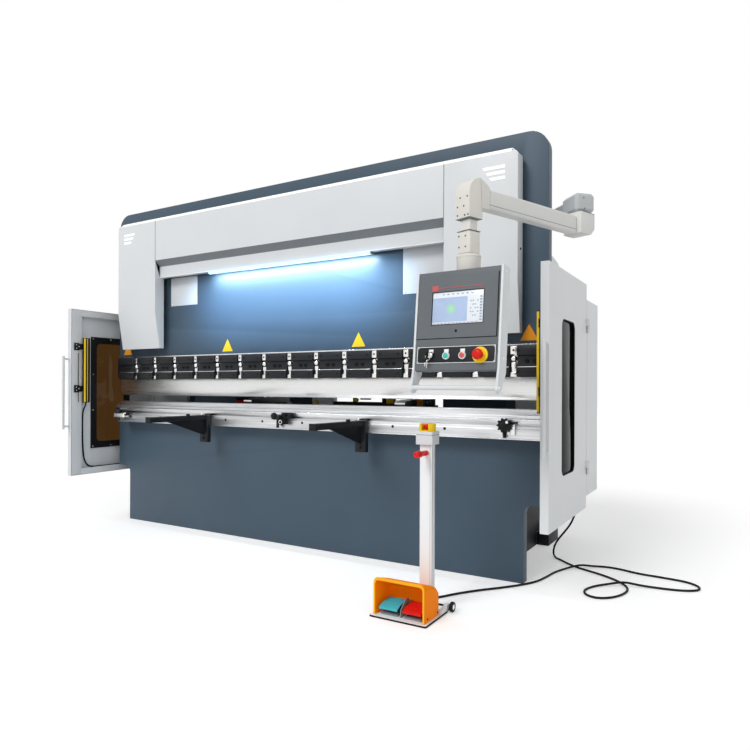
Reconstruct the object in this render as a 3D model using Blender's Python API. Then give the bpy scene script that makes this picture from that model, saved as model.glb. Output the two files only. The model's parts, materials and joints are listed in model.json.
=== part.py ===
"""Hydraulic press brake with side guards, a hanging control console and a foot pedal station.

Metres, +Z up, +X to the operator's right, +Y away from the operator. The origin is on the floor
at the middle of the bed plate. Every piece is one named object, and every moving body hangs from
an empty that stands on its joint's axis.
"""
import math

import bmesh
import bpy
from mathutils import Matrix, Vector

# Clearances
GAP = 0.0003
RUN = 0.001

# Bed plate
LENGTH = 3.20
PLATE = 0.060
BED_TOP = 0.819
BED_FOOT_INSET = 0.120
BED_FOOT_LENGTH = LENGTH - 2 * BED_FOOT_INSET
BED_SHOULDER = 0.39
BED_INNER_RADIUS = 0.045

# Die and its holder
HOLDER_HEIGHT = 0.017
HOLDER_DEPTH = 0.140
DIE_HEIGHT = 0.029
DIE_DEPTH = 0.060
VEE_WIDTH = 0.026
VEE_DEPTH = 0.015

# Front rail with its T-slot
RAIL_DEPTH = 0.090
RAIL_BOTTOM = 0.720
SLOT_BOTTOM = 0.781
SLOT_MOUTH = 0.012
SLOT_ROOM = 0.022
SLOT_MOUTH_DEPTH = 0.012
SLOT_DEPTH = 0.026

# Rail stops
STOP_PLACES = (-1.45, 0.02, 1.43)
STOP_WIDTH = 0.060
STOP_KNOB_RADIUS = 0.017

# Ram
TOOL_GAP = 0.045
RAM_CORNER_RADIUS = 0.10
RAM_WINDOW_WIDTH = 0.32
RAM_WINDOW_SILL = 0.20
RAM_WINDOW_HEIGHT = 0.68
RAM_BAND = 0.18
RAM_HEIGHT = RAM_WINDOW_SILL + RAM_WINDOW_HEIGHT + RAM_BAND
RAM_TRAVEL = 0.050

# Clamps and punch
CLAMP_COUNT = 16
CLAMP_PITCH = LENGTH / CLAMP_COUNT
CLAMP_SPACE = 0.038
CLAMP_WIDTH = CLAMP_PITCH - CLAMP_SPACE
CLAMP_HEIGHT = 0.155
CLAMP_FRONT = 0.087
CLAMP_WAIST = 0.070
ADAPTER_FRONT = 0.046
ADAPTER_REAR = 0.024
ADAPTER_HEIGHT = 0.135
PUNCH_HEIGHT = 0.150
PUNCH_SEAT = 0.015
PUNCH_TANG = 0.014
PUNCH_BODY = 0.034
PUNCH_TAPER = 0.022
PUNCH_TIP = 0.0012

# Side frames
FRAME_PLATE = 0.060
RAM_OVERHANG = 0.290
FRAME_OUTSIDE = LENGTH / 2 - RAM_OVERHANG
FRAME_REAR = 1.170
FRAME_HEIGHT = 2.10
FRAME_SLOPE_START = 1.62
FRAME_TOP_REAR = 0.80
THROAT_DEPTH = 0.36
THROAT_BOTTOM = 0.79
THROAT_TOP = 1.38
THROAT_RADIUS = 0.12
RAM_CLEARANCE = 0.060
FOOT_LENGTH = 0.22
FOOT_WIDTH = 0.075
FOOT_HEIGHT = 0.077
FOOT_REAR = 1.00
BOLT_RADIUS = 0.018

# Beams between the side frames
TANK_HEIGHT = 0.50
TANK_FRONT = 0.28
TANK_DEPTH = 0.46
TANK_TOP = 1.98
TIE_HEIGHT = 0.40
TIE_DEPTH = 0.10
TIE_BOTTOM = 0.12
TIE_REAR = 1.14
REAR_PANEL = 0.020
REAR_PANEL_TOP = 1.30
REAR_PANEL_EDGES = (-0.635, 0.515)
SHEET = 0.003

# Cylinders
CYLINDER_RADIUS = 0.085
CYLINDER_BOTTOM = 1.50
CYLINDER_TOP = 1.985
HEAD_BLOCK_WIDTH = 0.220
HEAD_BLOCK_HEIGHT = 0.20
ROD_RADIUS = 0.045
ROD_CLEARANCE = 0.0006
ROD_ENGAGED = 0.14

# Head cover
COVER_FRONT = 0.135
COVER_REAR = 0.058
COVER_INSET = 0.120
COVER_HALF = LENGTH / 2 - COVER_INSET
COVER_LEG = 0.390
COVER_SEAM = COVER_HALF - COVER_LEG
COVER_TOP = 2.12
COVER_CORNER = 0.055
COVER_EDGE = 0.012
COVER_KINK = 1.49
COVER_BOTTOM = 1.24
COVER_TOE = 0.040
BAND_FRONT = 0.097
BAND_BOTTOM = 1.730
BAND_TOP = 1.806
BAND_SLOPE_TOP = 1.845
LED_LENGTH = 1.255
LED_HEIGHT = 0.014
LED_DEPTH = 0.036

# Back gauge
GAUGE_PLATE_LENGTH = 1.600
GAUGE_PLATE_BOTTOM = 0.560
GAUGE_PLATE_HEIGHT = 0.160
GAUGE_PLATE = 0.020
WAY_SPACING = 1.400
WAY_SIZE = 0.040
WAY_TOP = GAUGE_PLATE_BOTTOM + GAUGE_PLATE_HEIGHT - 0.020
WAY_LENGTH = 0.950
GAUGE_HOME = 0.460
GAUGE_BEAM_LENGTH = 2.100
GAUGE_BEAM_SIZE = 0.080
GAUGE_BEAM_BOTTOM = WAY_TOP + 0.035
SADDLE_WIDTH = 0.090
SADDLE_BOTTOM = WAY_TOP - WAY_SIZE - 0.020
FINGER_PLACES = (-0.470, 0.700)
FINGER_WIDTH = 0.070
FINGER_TOP = GAUGE_BEAM_BOTTOM + 0.165
FINGER_TIP = GAUGE_HOME - 0.340
FINGER_NOSE = 0.080
TURRET_WIDTH = 0.110
TURRET_TOP = FINGER_TOP - 0.038

# Rear side covers
SIDE_OVERHANG = 0.100
SIDE_OUTSIDE = LENGTH / 2 + SIDE_OVERHANG
SIDE_FRONT = 0.355
SIDE_DEPTH = 0.275
SIDE_BOTTOM = 0.398
SIDE_TOP = 1.442

# Guards
GUARD_FRONT = 0.380
GUARD_REAR_GAP = 0.010
GUARD_BOTTOM = 0.340
GUARD_TOP = 1.520
GUARD_FRONT_LIP = 0.070
GUARD_TOP_LIP = 0.045
GUARD_BOTTOM_LIP = 0.050
GUARD_REAR_LIP = 0.035
HINGE_RADIUS = 0.008
HINGE_LENGTH = 0.035
HINGE_HEIGHTS = (0.55, 1.30)
WINDOW_FRONT = 0.130
WINDOW_REAR = 0.080
WINDOW_BOTTOM = 0.566
WINDOW_TOP = 1.290
WINDOW_RADIUS = 0.035
WINDOW_BORDER = 0.045
WINDOW_FRAME = 0.008
WINDOW_PANE = 0.004
HANDLE_BOTTOM = 0.670
HANDLE_TOP = 1.185
HANDLE_REACH = 0.042
HANDLE_RADIUS = 0.009
CURTAIN_BOTTOM = 0.857
CURTAIN_TOP = 1.318
CURTAIN_SIZE = 0.030
CURTAIN_SETBACK = 0.065
CURTAIN_BRACKETS = (0.935, 1.235)
CURTAIN_BRACKET_HEIGHT = 0.040

# Support arms
SUPPORT_PLACE = 0.600
SUPPORT_REACH = 0.590
SUPPORT_TOP = 0.790
SUPPORT_WIDTH = 0.044
SUPPORT_TUBE = 0.032
SUPPORT_POST_BOTTOM = 0.614
SUPPORT_POST_WIDTH = 0.070
SUPPORT_POST_DEPTH = 0.034
GUSSET_THICKNESS = 0.010

# Console: its housing leans back about a line at CONSOLE_TILT_HEIGHT
CONSOLE_TURN = -2.9
CONSOLE_TILT = 5.65
CONSOLE_TILT_HEIGHT = 1.240
CONSOLE_FRONT = 0.102
CONSOLE_WIDTH = 0.363
CONSOLE_TOP = 1.4225
CONSOLE_BOTTOM = 1.033
CONSOLE_DEPTH = 0.034
CONSOLE_CHEEK = 0.009
CHEEK_DEPTH = 0.060
CHEEK_BOTTOM = 0.945
CASE_WIDTH = 0.250
CASE_REAR = 0.056
CASE_BOTTOM = 1.110
CASE_TOP = 1.398
SCREEN_WIDTH = 0.2136
SCREEN_HEIGHT = 0.126
SCREEN_MIDDLE = 1.276
SUBPANEL_BOTTOM = 1.062
SUBPANEL_HEIGHT = 0.066
SUBPANEL_BORDER = 0.008
BUTTON_PLACES = (-0.107, -0.038, 0.030)
STOP_PLACE = 0.103
BAR_HEIGHT = 0.9687
BAR_RADIUS = 0.0095
STOP_RADIUS = 0.020

# Console arm, stacked up from the console's housing
COLLAR_HEIGHT = 0.092
COLLAR_RADIUS = 0.047
COLLAR_TOP = CASE_TOP + COLLAR_HEIGHT
COUPLING_WIDTH = 0.066
COUPLING_HEIGHT = 0.092
STEM_WIDTH = 0.050
STEM_HEIGHT = 0.048
TAIL_SIZE = 0.074
TAIL_HEIGHT = 0.160
TAIL_LEG = 0.052
TAIL_ELBOW_BOTTOM = COLLAR_TOP + COUPLING_HEIGHT + STEM_HEIGHT
TAIL_ELBOW_TOP = TAIL_ELBOW_BOTTOM + TAIL_HEIGHT
ARM_TUBE_WIDTH = 0.052
ARM_TUBE_HEIGHT = 0.080
ARM_TUBE_BOTTOM = TAIL_ELBOW_BOTTOM + 0.054
ELBOW = 0.100
ARM_ELBOW_BOTTOM = ARM_TUBE_BOTTOM
ARM_ELBOW_HEIGHT = 0.099
ELBOW_SPLIT = ARM_ELBOW_BOTTOM + ARM_ELBOW_HEIGHT
ELBOW_HEIGHT = 0.090
ELBOW_TOP = ELBOW_SPLIT + ELBOW_HEIGHT
STUB_WIDTH = 0.056
STUB_HEIGHT = 0.070
STUB_ANGLE = 134.4
STUB_LENGTH = 0.60
PIVOT_X = SIDE_OUTSIDE + 0.055
PIVOT_Y = -0.065
CONSOLE_X = PIVOT_X - 0.264
CONSOLE_Y = PIVOT_Y - 0.710

# Pedal station
PEDAL_X = SIDE_OUTSIDE - 0.510
PEDAL_FRONT = 0.800
PEDAL_WIDTH = 0.262
PEDAL_DEPTH = 0.150
PEDAL_PLATE = 0.008
HOOD_WIDTH = 0.240
HOOD_HEIGHT = 0.142
HOOD_DEPTH = 0.135
HOOD_WALL = 0.004
HOOD_RADIUS = 0.022
PEDAL_SIZE = 0.088
PIN_RADIUS = 0.004
POLE_X = PEDAL_X + 0.047
POLE_Y = -0.615
POLE_WIDTH = 0.058
POLE_DEPTH = 0.040
POLE_TOP = 0.724
WHEEL_RADIUS = 0.022
WHEEL_WIDTH = 0.016
AXLE_RADIUS = 0.005
STOP_BOX_WIDTH = 0.080
STOP_BOX_DEPTH = 0.074
STOP_BOX_HEIGHT = 0.057

# Cord from the right cabinet to the pedal station
CORD_DIAMETER = 0.011
CORD_POINTS = 80
CORD_X = SIDE_OUTSIDE - 0.100
CORD_Y = 0.590
GLAND_LENGTH = 0.036
GLAND_RADIUS = 0.013
SLEEVE_LENGTH = 0.020
SLEEVE_HEIGHT = 0.0175
# Points of the cord, with X from the outside of the right cabinet
CORD_ROUTE = (
    (-0.100, 0.590, 0.320), (-0.110, 0.590, 0.265), (-0.134, 0.590, 0.200), (-0.170, 0.590, 0.145),
    (-0.204, 0.588, 0.100), (-0.225, 0.578, 0.058), (-0.226, 0.556, 0.024), (-0.208, 0.526, 0.0075),
    (-0.165, 0.485, 0.0061), (-0.110, 0.430, 0.0061), (-0.045, 0.380, 0.0061), (0.070, 0.321, 0.0061),
    (0.168, 0.252, 0.0061), (0.225, 0.180, 0.0061), (0.243, 0.108, 0.0061), (0.225, 0.020, 0.0061),
    (0.184, -0.045, 0.0061), (0.133, -0.072, 0.0061), (0.088, -0.050, 0.0061), (0.068, 0.008, 0.0061),
    (0.090, 0.088, 0.0061), (0.150, 0.155, 0.0110), (0.216, 0.194, 0.0190), (0.285, 0.213, 0.0110),
    (0.380, 0.232, 0.0061), (0.480, 0.254, 0.0061), (0.532, 0.296, 0.0061), (0.532, 0.352, 0.0061),
    (0.480, 0.402, 0.0061), (0.360, 0.424, 0.0061), (0.245, 0.436, 0.0061), (0.150, 0.468, 0.0061),
    (0.085, 0.474, 0.0061), (0.020, 0.440, 0.0100), (-0.040, 0.386, 0.0190), (-0.094, 0.322, 0.0100),
    (-0.132, 0.230, 0.0061), (-0.147, 0.130, 0.0061), (-0.173, 0.018, 0.0061), (-0.224, -0.076, 0.0061),
    (-0.290, -0.165, 0.0061), (-0.361, -0.250, 0.0061), (-0.428, -0.345, 0.0061), (-0.483, -0.440, 0.0061),
    (-0.516, -0.505, 0.0100), (-0.531, -0.556, 0.0175), (-0.532, -0.600, 0.0175),
)


def clear_scene():
    """Remove whatever the scene holds, so that the file can be run again."""
    for thing in list(bpy.data.objects):
        bpy.data.objects.remove(thing, do_unlink=True)


def material(name, color, roughness, metallic=0.0, alpha=1.0):
    """A Principled material with linear colour values."""
    made = bpy.data.materials.get(name) or bpy.data.materials.new(name)
    made.use_nodes = True
    shader = made.node_tree.nodes["Principled BSDF"]
    shader.inputs["Base Color"].default_value = (*color, 1.0)
    shader.inputs["Roughness"].default_value = roughness
    shader.inputs["Metallic"].default_value = metallic
    shader.inputs["Alpha"].default_value = alpha
    made.diffuse_color = (*color, alpha)
    return made


def slate():
    return material("slate_paint", (0.065, 0.098, 0.135), 0.45)


def pale():
    return material("pale_paint", (0.70, 0.72, 0.73), 0.4)


def cream():
    return material("cream_paint", (0.67, 0.66, 0.61), 0.45)


def steel():
    return material("ground_steel", (0.62, 0.60, 0.57), 0.28, 1.0)


def black():
    return material("black_oxide", (0.012, 0.012, 0.013), 0.4)


def charcoal():
    return material("charcoal_panel", (0.16, 0.17, 0.18), 0.5)


def keep(name, bm, paint):
    """Make an object from a bmesh, with flat faces that split where they turn sharply."""
    bmesh.ops.recalc_face_normals(bm, faces=bm.faces)
    mesh = bpy.data.meshes.new(name)
    bm.to_mesh(mesh)
    bm.free()
    made = bpy.data.objects.new(name, mesh)
    bpy.context.scene.collection.objects.link(made)
    mesh.materials.append(paint)
    mesh.shade_smooth()
    mesh.set_sharp_from_angle(angle=math.radians(35))
    return made


def rounded(corners, steps=5):
    """An outline through corners (x, y, radius), each turned by an arc where its radius isn't 0."""
    outline = []
    for i, (x, y, radius) in enumerate(corners):
        here = Vector((x, y))
        if radius == 0:
            outline.append(here)
            continue
        back = (Vector(corners[i - 1][:2]) - here).normalized()
        ahead = (Vector(corners[(i + 1) % len(corners)][:2]) - here).normalized()
        half = back.angle(ahead) / 2
        centre = here + (back + ahead).normalized() * radius / math.sin(half)
        start = here + back * radius / math.tan(half) - centre
        end = here + ahead * radius / math.tan(half) - centre
        turn = start.angle_signed(end)
        for step in range(steps + 1):
            angle = -turn * step / steps
            outline.append(centre + Matrix.Rotation(angle, 2) @ start)
    return outline


def prism(name, outline, axis, low, high, paint):
    """Extrude a closed outline along X, Y or Z. The outline's plane is YZ, XZ or XY."""
    place = {
        "X": lambda a, b, c: (c, a, b),
        "Y": lambda a, b, c: (a, c, b),
        "Z": lambda a, b, c: (a, b, c),
    }[axis]
    bm = bmesh.new()
    ends = []
    for level in (low, high):
        ends.append([bm.verts.new(place(point[0], point[1], level)) for point in outline])
    bm.faces.new(ends[0])
    bm.faces.new(reversed(ends[1]))
    count = len(outline)
    for i in range(count):
        bm.faces.new((ends[0][i], ends[1][i], ends[1][(i + 1) % count], ends[0][(i + 1) % count]))
    return keep(name, bm, paint)


def block(name, low, high, paint, bevel=0.0):
    """A box between two corners, with its edges bevelled if asked."""
    bm = bmesh.new()
    bmesh.ops.create_cube(bm, size=1.0)
    for vert in bm.verts:
        vert.co = Vector([low[i] if vert.co[i] < 0 else high[i] for i in range(3)])
    if bevel:
        bmesh.ops.bevel(bm, geom=bm.edges[:], offset=bevel, segments=1, affect="EDGES")
    return keep(name, bm, paint)


def rod(name, start, end, radius, paint, sides=16, end_radius=None):
    """A round bar or cone between two points."""
    start, end = Vector(start), Vector(end)
    along = end - start
    bm = bmesh.new()
    bmesh.ops.create_cone(
        bm, cap_ends=True, segments=sides, radius1=radius,
        radius2=radius if end_radius is None else end_radius, depth=along.length)
    turn = Vector((0, 0, 1)).rotation_difference(along)
    bm.transform(Matrix.Translation((start + end) / 2) @ turn.to_matrix().to_4x4())
    return keep(name, bm, paint)


def turned(name, profile, base, axis, paint, sides=20):
    """A turned solid: profile is (radius, distance along the axis), from axis to axis."""
    bm = bmesh.new()
    rings = []
    for radius, along in profile:
        count = 1 if radius == 0 else sides
        ring = []
        for k in range(count):
            angle = 2 * math.pi * k / sides
            ring.append(bm.verts.new((radius * math.cos(angle), radius * math.sin(angle), along)))
        rings.append(ring)
    for lower, upper in zip(rings, rings[1:]):
        for k in range(sides):
            loop = [lower[k % len(lower)], lower[(k + 1) % len(lower)],
                    upper[(k + 1) % len(upper)], upper[k % len(upper)]]
            bm.faces.new(list(dict.fromkeys(loop)))
    for ring in (rings[0], rings[-1]):
        if len(ring) > 1:
            bm.faces.new(ring)
    turn = Vector((0, 0, 1)).rotation_difference(Vector(axis))
    bm.transform(Matrix.Translation(base) @ turn.to_matrix().to_4x4())
    return keep(name, bm, paint)


def boolean(target, tool, operation):
    """Apply an exact Boolean and remove its tool."""
    step = target.modifiers.new(operation.lower(), "BOOLEAN")
    step.operation = operation
    step.solver = "EXACT"
    step.object = tool
    bpy.context.view_layer.update()
    evaluated = target.evaluated_get(bpy.context.evaluated_depsgraph_get())
    result = bpy.data.meshes.new_from_object(evaluated)
    target.modifiers.remove(step)
    target.data = result
    bpy.data.objects.remove(tool, do_unlink=True)
    result.shade_smooth()
    result.set_sharp_from_angle(angle=math.radians(35))
    return target


def cut(target, *tools):
    for tool in tools:
        boolean(target, tool, "DIFFERENCE")
    return target


def fuse(target, *tools):
    for tool in tools:
        boolean(target, tool, "UNION")
    return target


def mirrored(source, name):
    """The same piece on the other side of the X = 0 plane."""
    bm = bmesh.new()
    bm.from_mesh(source.data)
    bm.transform(source.matrix_world)
    for vert in bm.verts:
        vert.co.x = -vert.co.x
    bmesh.ops.reverse_faces(bm, faces=bm.faces)
    return keep(name, bm, source.data.materials[0])


def bent_sheet(path, thickness):
    """The section of a bent sheet: a path of corners and the same path set off to its right."""
    points = [Vector(p) for p in path]
    inner = []
    for i, here in enumerate(points):
        sides = []
        if i > 0:
            sides.append((here - points[i - 1]).normalized())
        if i < len(points) - 1:
            sides.append((points[i + 1] - here).normalized())
        normals = [Vector((side.y, -side.x)) for side in sides]
        mean = sum(normals, Vector((0, 0))).normalized()
        inner.append(here + mean * thickness / mean.dot(normals[0]))
    return points + inner[::-1]


def pose_empty(name, place, pieces):
    """Hang the pieces of a moving body from an empty that stands on the joint's axis."""
    empty = bpy.data.objects.new(name, None)
    empty.empty_display_size = 0.1
    empty.location = place
    bpy.context.scene.collection.objects.link(empty)
    bpy.context.view_layer.update()
    for piece in pieces:
        piece.parent = empty
        piece.matrix_parent_inverse = empty.matrix_world.inverted()
    return empty


def front_of_plate():
    return -PLATE / 2


def die_top():
    return BED_TOP + HOLDER_HEIGHT + DIE_HEIGHT + 2 * GAP


def ram_bottom():
    return die_top() + TOOL_GAP + PUNCH_HEIGHT + ADAPTER_HEIGHT - PUNCH_SEAT



def bed_plate():
    half, foot = LENGTH / 2, BED_FOOT_LENGTH / 2
    right = [(foot, 0, 0), (foot, BED_SHOULDER, BED_INNER_RADIUS), (half, BED_SHOULDER, 0),
             (half, BED_TOP, 0)]
    left = [(-x, z, radius) for x, z, radius in reversed(right)]
    return prism("bed_plate", rounded(right + left), "Y", -PLATE / 2, PLATE / 2, slate())


def die_holder():
    bottom = BED_TOP + GAP
    return block("die_holder", (-LENGTH / 2, -HOLDER_DEPTH / 2, bottom),
                 (LENGTH / 2, HOLDER_DEPTH / 2, bottom + HOLDER_HEIGHT), steel(), 0.0015)


def die():
    bottom = BED_TOP + HOLDER_HEIGHT + 2 * GAP
    top = bottom + DIE_HEIGHT
    half, edge = DIE_DEPTH / 2, 0.003
    outline = [(-half, bottom), (half, bottom), (half, top - edge), (half - edge, top),
               (VEE_WIDTH / 2, top), (0, top - VEE_DEPTH), (-VEE_WIDTH / 2, top),
               (edge - half, top), (-half, top - edge)]
    return prism("die", outline, "X", -LENGTH / 2, LENGTH / 2, steel())


def rail_front():
    return front_of_plate() - GAP - RAIL_DEPTH


def front_rail():
    rear, front = front_of_plate() - GAP, rail_front()
    middle = SLOT_BOTTOM + SLOT_ROOM / 2
    mouth, room = SLOT_MOUTH / 2, SLOT_ROOM / 2
    step = 0.006
    outline = [(rear, RAIL_BOTTOM), (front + 0.004, RAIL_BOTTOM), (front, RAIL_BOTTOM + 0.004),
               (front, RAIL_BOTTOM + 0.050), (front + step, RAIL_BOTTOM + 0.050),
               (front + step, middle - mouth), (front + step + SLOT_MOUTH_DEPTH, middle - mouth),
               (front + step + SLOT_MOUTH_DEPTH, middle - room),
               (front + step + SLOT_DEPTH, middle - room), (front + step + SLOT_DEPTH, middle + room),
               (front + step + SLOT_MOUTH_DEPTH, middle + room),
               (front + step + SLOT_MOUTH_DEPTH, middle + mouth), (front + step, middle + mouth),
               (front + step, BED_TOP - 0.006), (front + step + 0.006, BED_TOP), (rear, BED_TOP)]
    return prism("front_rail", outline, "X", -LENGTH / 2, LENGTH / 2, steel())


def slot_middle():
    return SLOT_BOTTOM + SLOT_ROOM / 2


def rail_stop(name, x):
    """A stop block on the rail's front with its T-nut, star knob and lever."""
    seat = rail_front() + 0.006
    middle, half = slot_middle(), STOP_WIDTH / 2
    body = block(name, (x - half, seat - GAP - 0.022, middle - 0.014),
                 (x + half, seat - GAP, middle + 0.014), black(), 0.003)
    neck = block("neck", (x - 0.012, seat - GAP - 0.004, middle - SLOT_MOUTH / 2 + RUN),
                 (x + 0.012, seat + SLOT_MOUTH_DEPTH + 0.004, middle + SLOT_MOUTH / 2 - RUN), black())
    nut = block("nut", (x - 0.014, seat + SLOT_MOUTH_DEPTH + GAP, middle - SLOT_ROOM / 2 + RUN),
                (x + 0.014, seat + SLOT_DEPTH - 2 * RUN, middle + SLOT_ROOM / 2 - RUN), black())
    shank = rod("shank", (x + 0.2 * half, seat - 0.02, middle), (x + 0.2 * half, seat - 0.046, middle),
                0.007, black(), 10)
    knob = turned("knob", [(0, 0), (STOP_KNOB_RADIUS, 0), (STOP_KNOB_RADIUS, 0.016), (0.010, 0.020),
                           (0, 0.020)], (x + 0.2 * half, seat - 0.040, middle), (0, -1, 0), black(), 12)
    lever = rod("lever", (x - 0.6 * half, seat - 0.018, middle - 0.006),
                (x - 0.2 * half, seat - 0.034, middle - 0.062), 0.009, black(), 10)
    return fuse(body, neck, nut, shank, knob, lever)


def ram_plate():
    half, bottom = LENGTH / 2, ram_bottom()
    top = bottom + RAM_HEIGHT
    outline = rounded([(-half, bottom, 0), (half, bottom, 0), (half, top, RAM_CORNER_RADIUS),
                       (-half, top, RAM_CORNER_RADIUS)], 7)
    plate = prism("ram_plate", outline, "Y", -PLATE / 2, PLATE / 2, slate())
    for side in (-1, 1):
        x = side * cylinder_x()
        wide = RAM_WINDOW_WIDTH / 2
        sill = bottom + RAM_WINDOW_SILL
        window = rounded([(x - wide, sill, 0.03), (x + wide, sill, 0.03),
                          (x + wide, sill + RAM_WINDOW_HEIGHT, 0.03),
                          (x - wide, sill + RAM_WINDOW_HEIGHT, 0.03)], 3)
        cut(plate, prism("window", window, "Y", -PLATE, PLATE, slate()))
    return plate


def clamp_section(top):
    """Side view of one clamp: a top block, a waist and a lower block, with bevelled edges."""
    front, waist, back = -CLAMP_FRONT, -CLAMP_WAIST, -ADAPTER_FRONT + 0.004
    bottom = top - CLAMP_HEIGHT
    third = CLAMP_HEIGHT / 3
    edge = 0.004
    return [(back, top), (front + edge, top), (front + 0.002, top - edge),
            (front + 0.002, top - third + edge), (waist, top - third),
            (waist - 0.002, bottom + third), (front, bottom + third - edge),
            (front, bottom + edge), (front + edge, bottom), (back, bottom)]


def clamp_row():
    """The adapter bar under the ram with its row of clamps and the wedge bolts between them."""
    top = ram_bottom() - GAP
    bottom = top - ADAPTER_HEIGHT
    half = LENGTH / 2
    channel = PUNCH_TANG / 2 + GAP
    outline = [(-ADAPTER_FRONT, top), (-ADAPTER_FRONT, bottom), (-channel, bottom),
               (-channel, bottom + PUNCH_SEAT + GAP), (channel, bottom + PUNCH_SEAT + GAP),
               (channel, bottom), (ADAPTER_REAR, bottom), (ADAPTER_REAR, top)]
    row = prism("clamp_row", outline, "X", -half, half, steel())
    first = -(CLAMP_COUNT - 1) / 2 * CLAMP_PITCH
    for i in range(CLAMP_COUNT):
        x = first + i * CLAMP_PITCH
        fuse(row, prism("clamp", clamp_section(top), "X", x - CLAMP_WIDTH / 2, x + CLAMP_WIDTH / 2,
                        black()))
    for i in range(CLAMP_COUNT - 1):
        x = first + (i + 0.5) * CLAMP_PITCH
        fuse(row, block("wedge", (x - 0.010, -ADAPTER_FRONT - 0.022, top - 0.040),
                        (x + 0.010, -ADAPTER_FRONT + 0.004, top - 0.004), steel()))
        fuse(row, rod("wedge_bolt", (x, -ADAPTER_FRONT + 0.004, top - 0.072),
                      (x, -ADAPTER_FRONT - 0.024, top - 0.072), 0.010, steel(), 8))
    return row


def punch():
    """Side view of the punch: tang, shoulders, body and a slender tip."""
    tip = die_top() + TOOL_GAP
    top = tip + PUNCH_HEIGHT
    tang, body = PUNCH_TANG / 2, PUNCH_BODY / 2
    shoulder = ram_bottom() - GAP - ADAPTER_HEIGHT - GAP
    outline = [(-tang, top - GAP), (-tang, shoulder), (-body, shoulder),
               (-body, tip + PUNCH_TAPER + 0.012), (-PUNCH_TIP - 0.006, tip + 0.012),
               (-PUNCH_TIP, tip), (PUNCH_TIP, tip), (PUNCH_TIP + 0.006, tip + 0.012),
               (body, tip + PUNCH_TAPER + 0.030), (body, shoulder), (tang, shoulder),
               (tang, top - GAP)]
    return prism("punch", outline, "X", -LENGTH / 2, LENGTH / 2, steel())


def cylinder_x():
    return FRAME_OUTSIDE - FRAME_PLATE / 2


def frame_front():
    return PLATE / 2 + RAM_CLEARANCE


def side_frame():
    """The right housing: a plate with a throat behind the tools, and its levelling foot."""
    front, throat = PLATE / 2 + GAP, PLATE / 2 + THROAT_DEPTH
    corners = [(front, 0, 0), (FRAME_REAR, 0, 0.03), (FRAME_REAR, FRAME_SLOPE_START, 0.05),
               (FRAME_TOP_REAR, FRAME_HEIGHT, 0.10), (frame_front(), FRAME_HEIGHT, 0.02),
               (frame_front(), THROAT_TOP, 0.02), (throat, THROAT_TOP, THROAT_RADIUS),
               (throat, THROAT_BOTTOM, THROAT_RADIUS), (front, THROAT_BOTTOM, 0.02)]
    frame = prism("side_frame_right", rounded(corners), "X", FRAME_OUTSIDE - FRAME_PLATE,
                  FRAME_OUTSIDE, slate())
    foot = block("foot", (FRAME_OUTSIDE - 0.01, FOOT_REAR - FOOT_LENGTH, 0),
                 (FRAME_OUTSIDE + FOOT_WIDTH, FOOT_REAR, FOOT_HEIGHT), black(), 0.004)
    place = (FRAME_OUTSIDE + FOOT_WIDTH / 2, FOOT_REAR - FOOT_LENGTH / 2)
    bolt = rod("bolt", (*place, FOOT_HEIGHT - 0.01), (*place, FOOT_HEIGHT + 0.035), BOLT_RADIUS,
               pale(), 12)
    return fuse(frame, foot, bolt)


def between_frames():
    return FRAME_OUTSIDE - FRAME_PLATE - GAP


def oil_tank():
    """The oil tank that ties the housings together behind the ram, with its lid and filler."""
    half = between_frames()
    low, high = TANK_TOP - TANK_HEIGHT, TANK_TOP
    tank = block("oil_tank", (-half, TANK_FRONT, low), (half, TANK_FRONT + TANK_DEPTH, high), slate())
    lid = block("lid", (-half + 0.10, TANK_FRONT + 0.03, high - 0.01),
                (half - 0.10, TANK_FRONT + TANK_DEPTH - 0.03, high + 0.012), slate())
    filler = rod("filler", (half - 0.35, TANK_FRONT + TANK_DEPTH / 2, high),
                 (half - 0.35, TANK_FRONT + TANK_DEPTH / 2, high + 0.07), 0.035, black(), 14)
    return fuse(tank, lid, filler)


def rear_beam():
    half = between_frames()
    outline = bent_sheet([(TIE_REAR - TIE_DEPTH, TIE_BOTTOM), (TIE_REAR, TIE_BOTTOM),
                          (TIE_REAR, TIE_BOTTOM + TIE_HEIGHT),
                          (TIE_REAR - TIE_DEPTH, TIE_BOTTOM + TIE_HEIGHT)], -4 * SHEET)
    tie = prism("rear_beam", outline, "X", -half, half, slate())
    for end, edge in zip((-half, half), REAR_PANEL_EDGES):
        fuse(tie, block("panel", (min(end, edge), TIE_REAR - REAR_PANEL, TIE_BOTTOM + TIE_HEIGHT - 2 * SHEET),
                        (max(end, edge), TIE_REAR, REAR_PANEL_TOP), slate(), 0.002))
    return tie


def cylinder(name, side):
    """A ram cylinder in its window, bolted by its head block to the housing's front edge."""
    x = side * cylinder_x()
    body = rod(name, (x, 0, CYLINDER_BOTTOM), (x, 0, CYLINDER_TOP - HEAD_BLOCK_HEIGHT / 2),
               CYLINDER_RADIUS, charcoal(), 24)
    half = HEAD_BLOCK_WIDTH / 2
    low = CYLINDER_TOP - HEAD_BLOCK_HEIGHT
    head = block("head", (x - half, -CYLINDER_RADIUS - 0.006, low),
                 (x + half, frame_front() - GAP, CYLINDER_TOP), charcoal(), 0.006)
    bracket = block("bracket", (x - 0.04, -COVER_FRONT + SHEET + GAP, low + 0.05),
                    (x + 0.04, -CYLINDER_RADIUS, low + 0.15), charcoal())
    bore = rod("bore", (x, 0, CYLINDER_BOTTOM - 0.01),
               (x, 0, CYLINDER_BOTTOM + ROD_ENGAGED + RAM_TRAVEL + 0.03),
               ROD_RADIUS + ROD_CLEARANCE, charcoal(), 24)
    return cut(fuse(body, head, bracket), bore)


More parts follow.
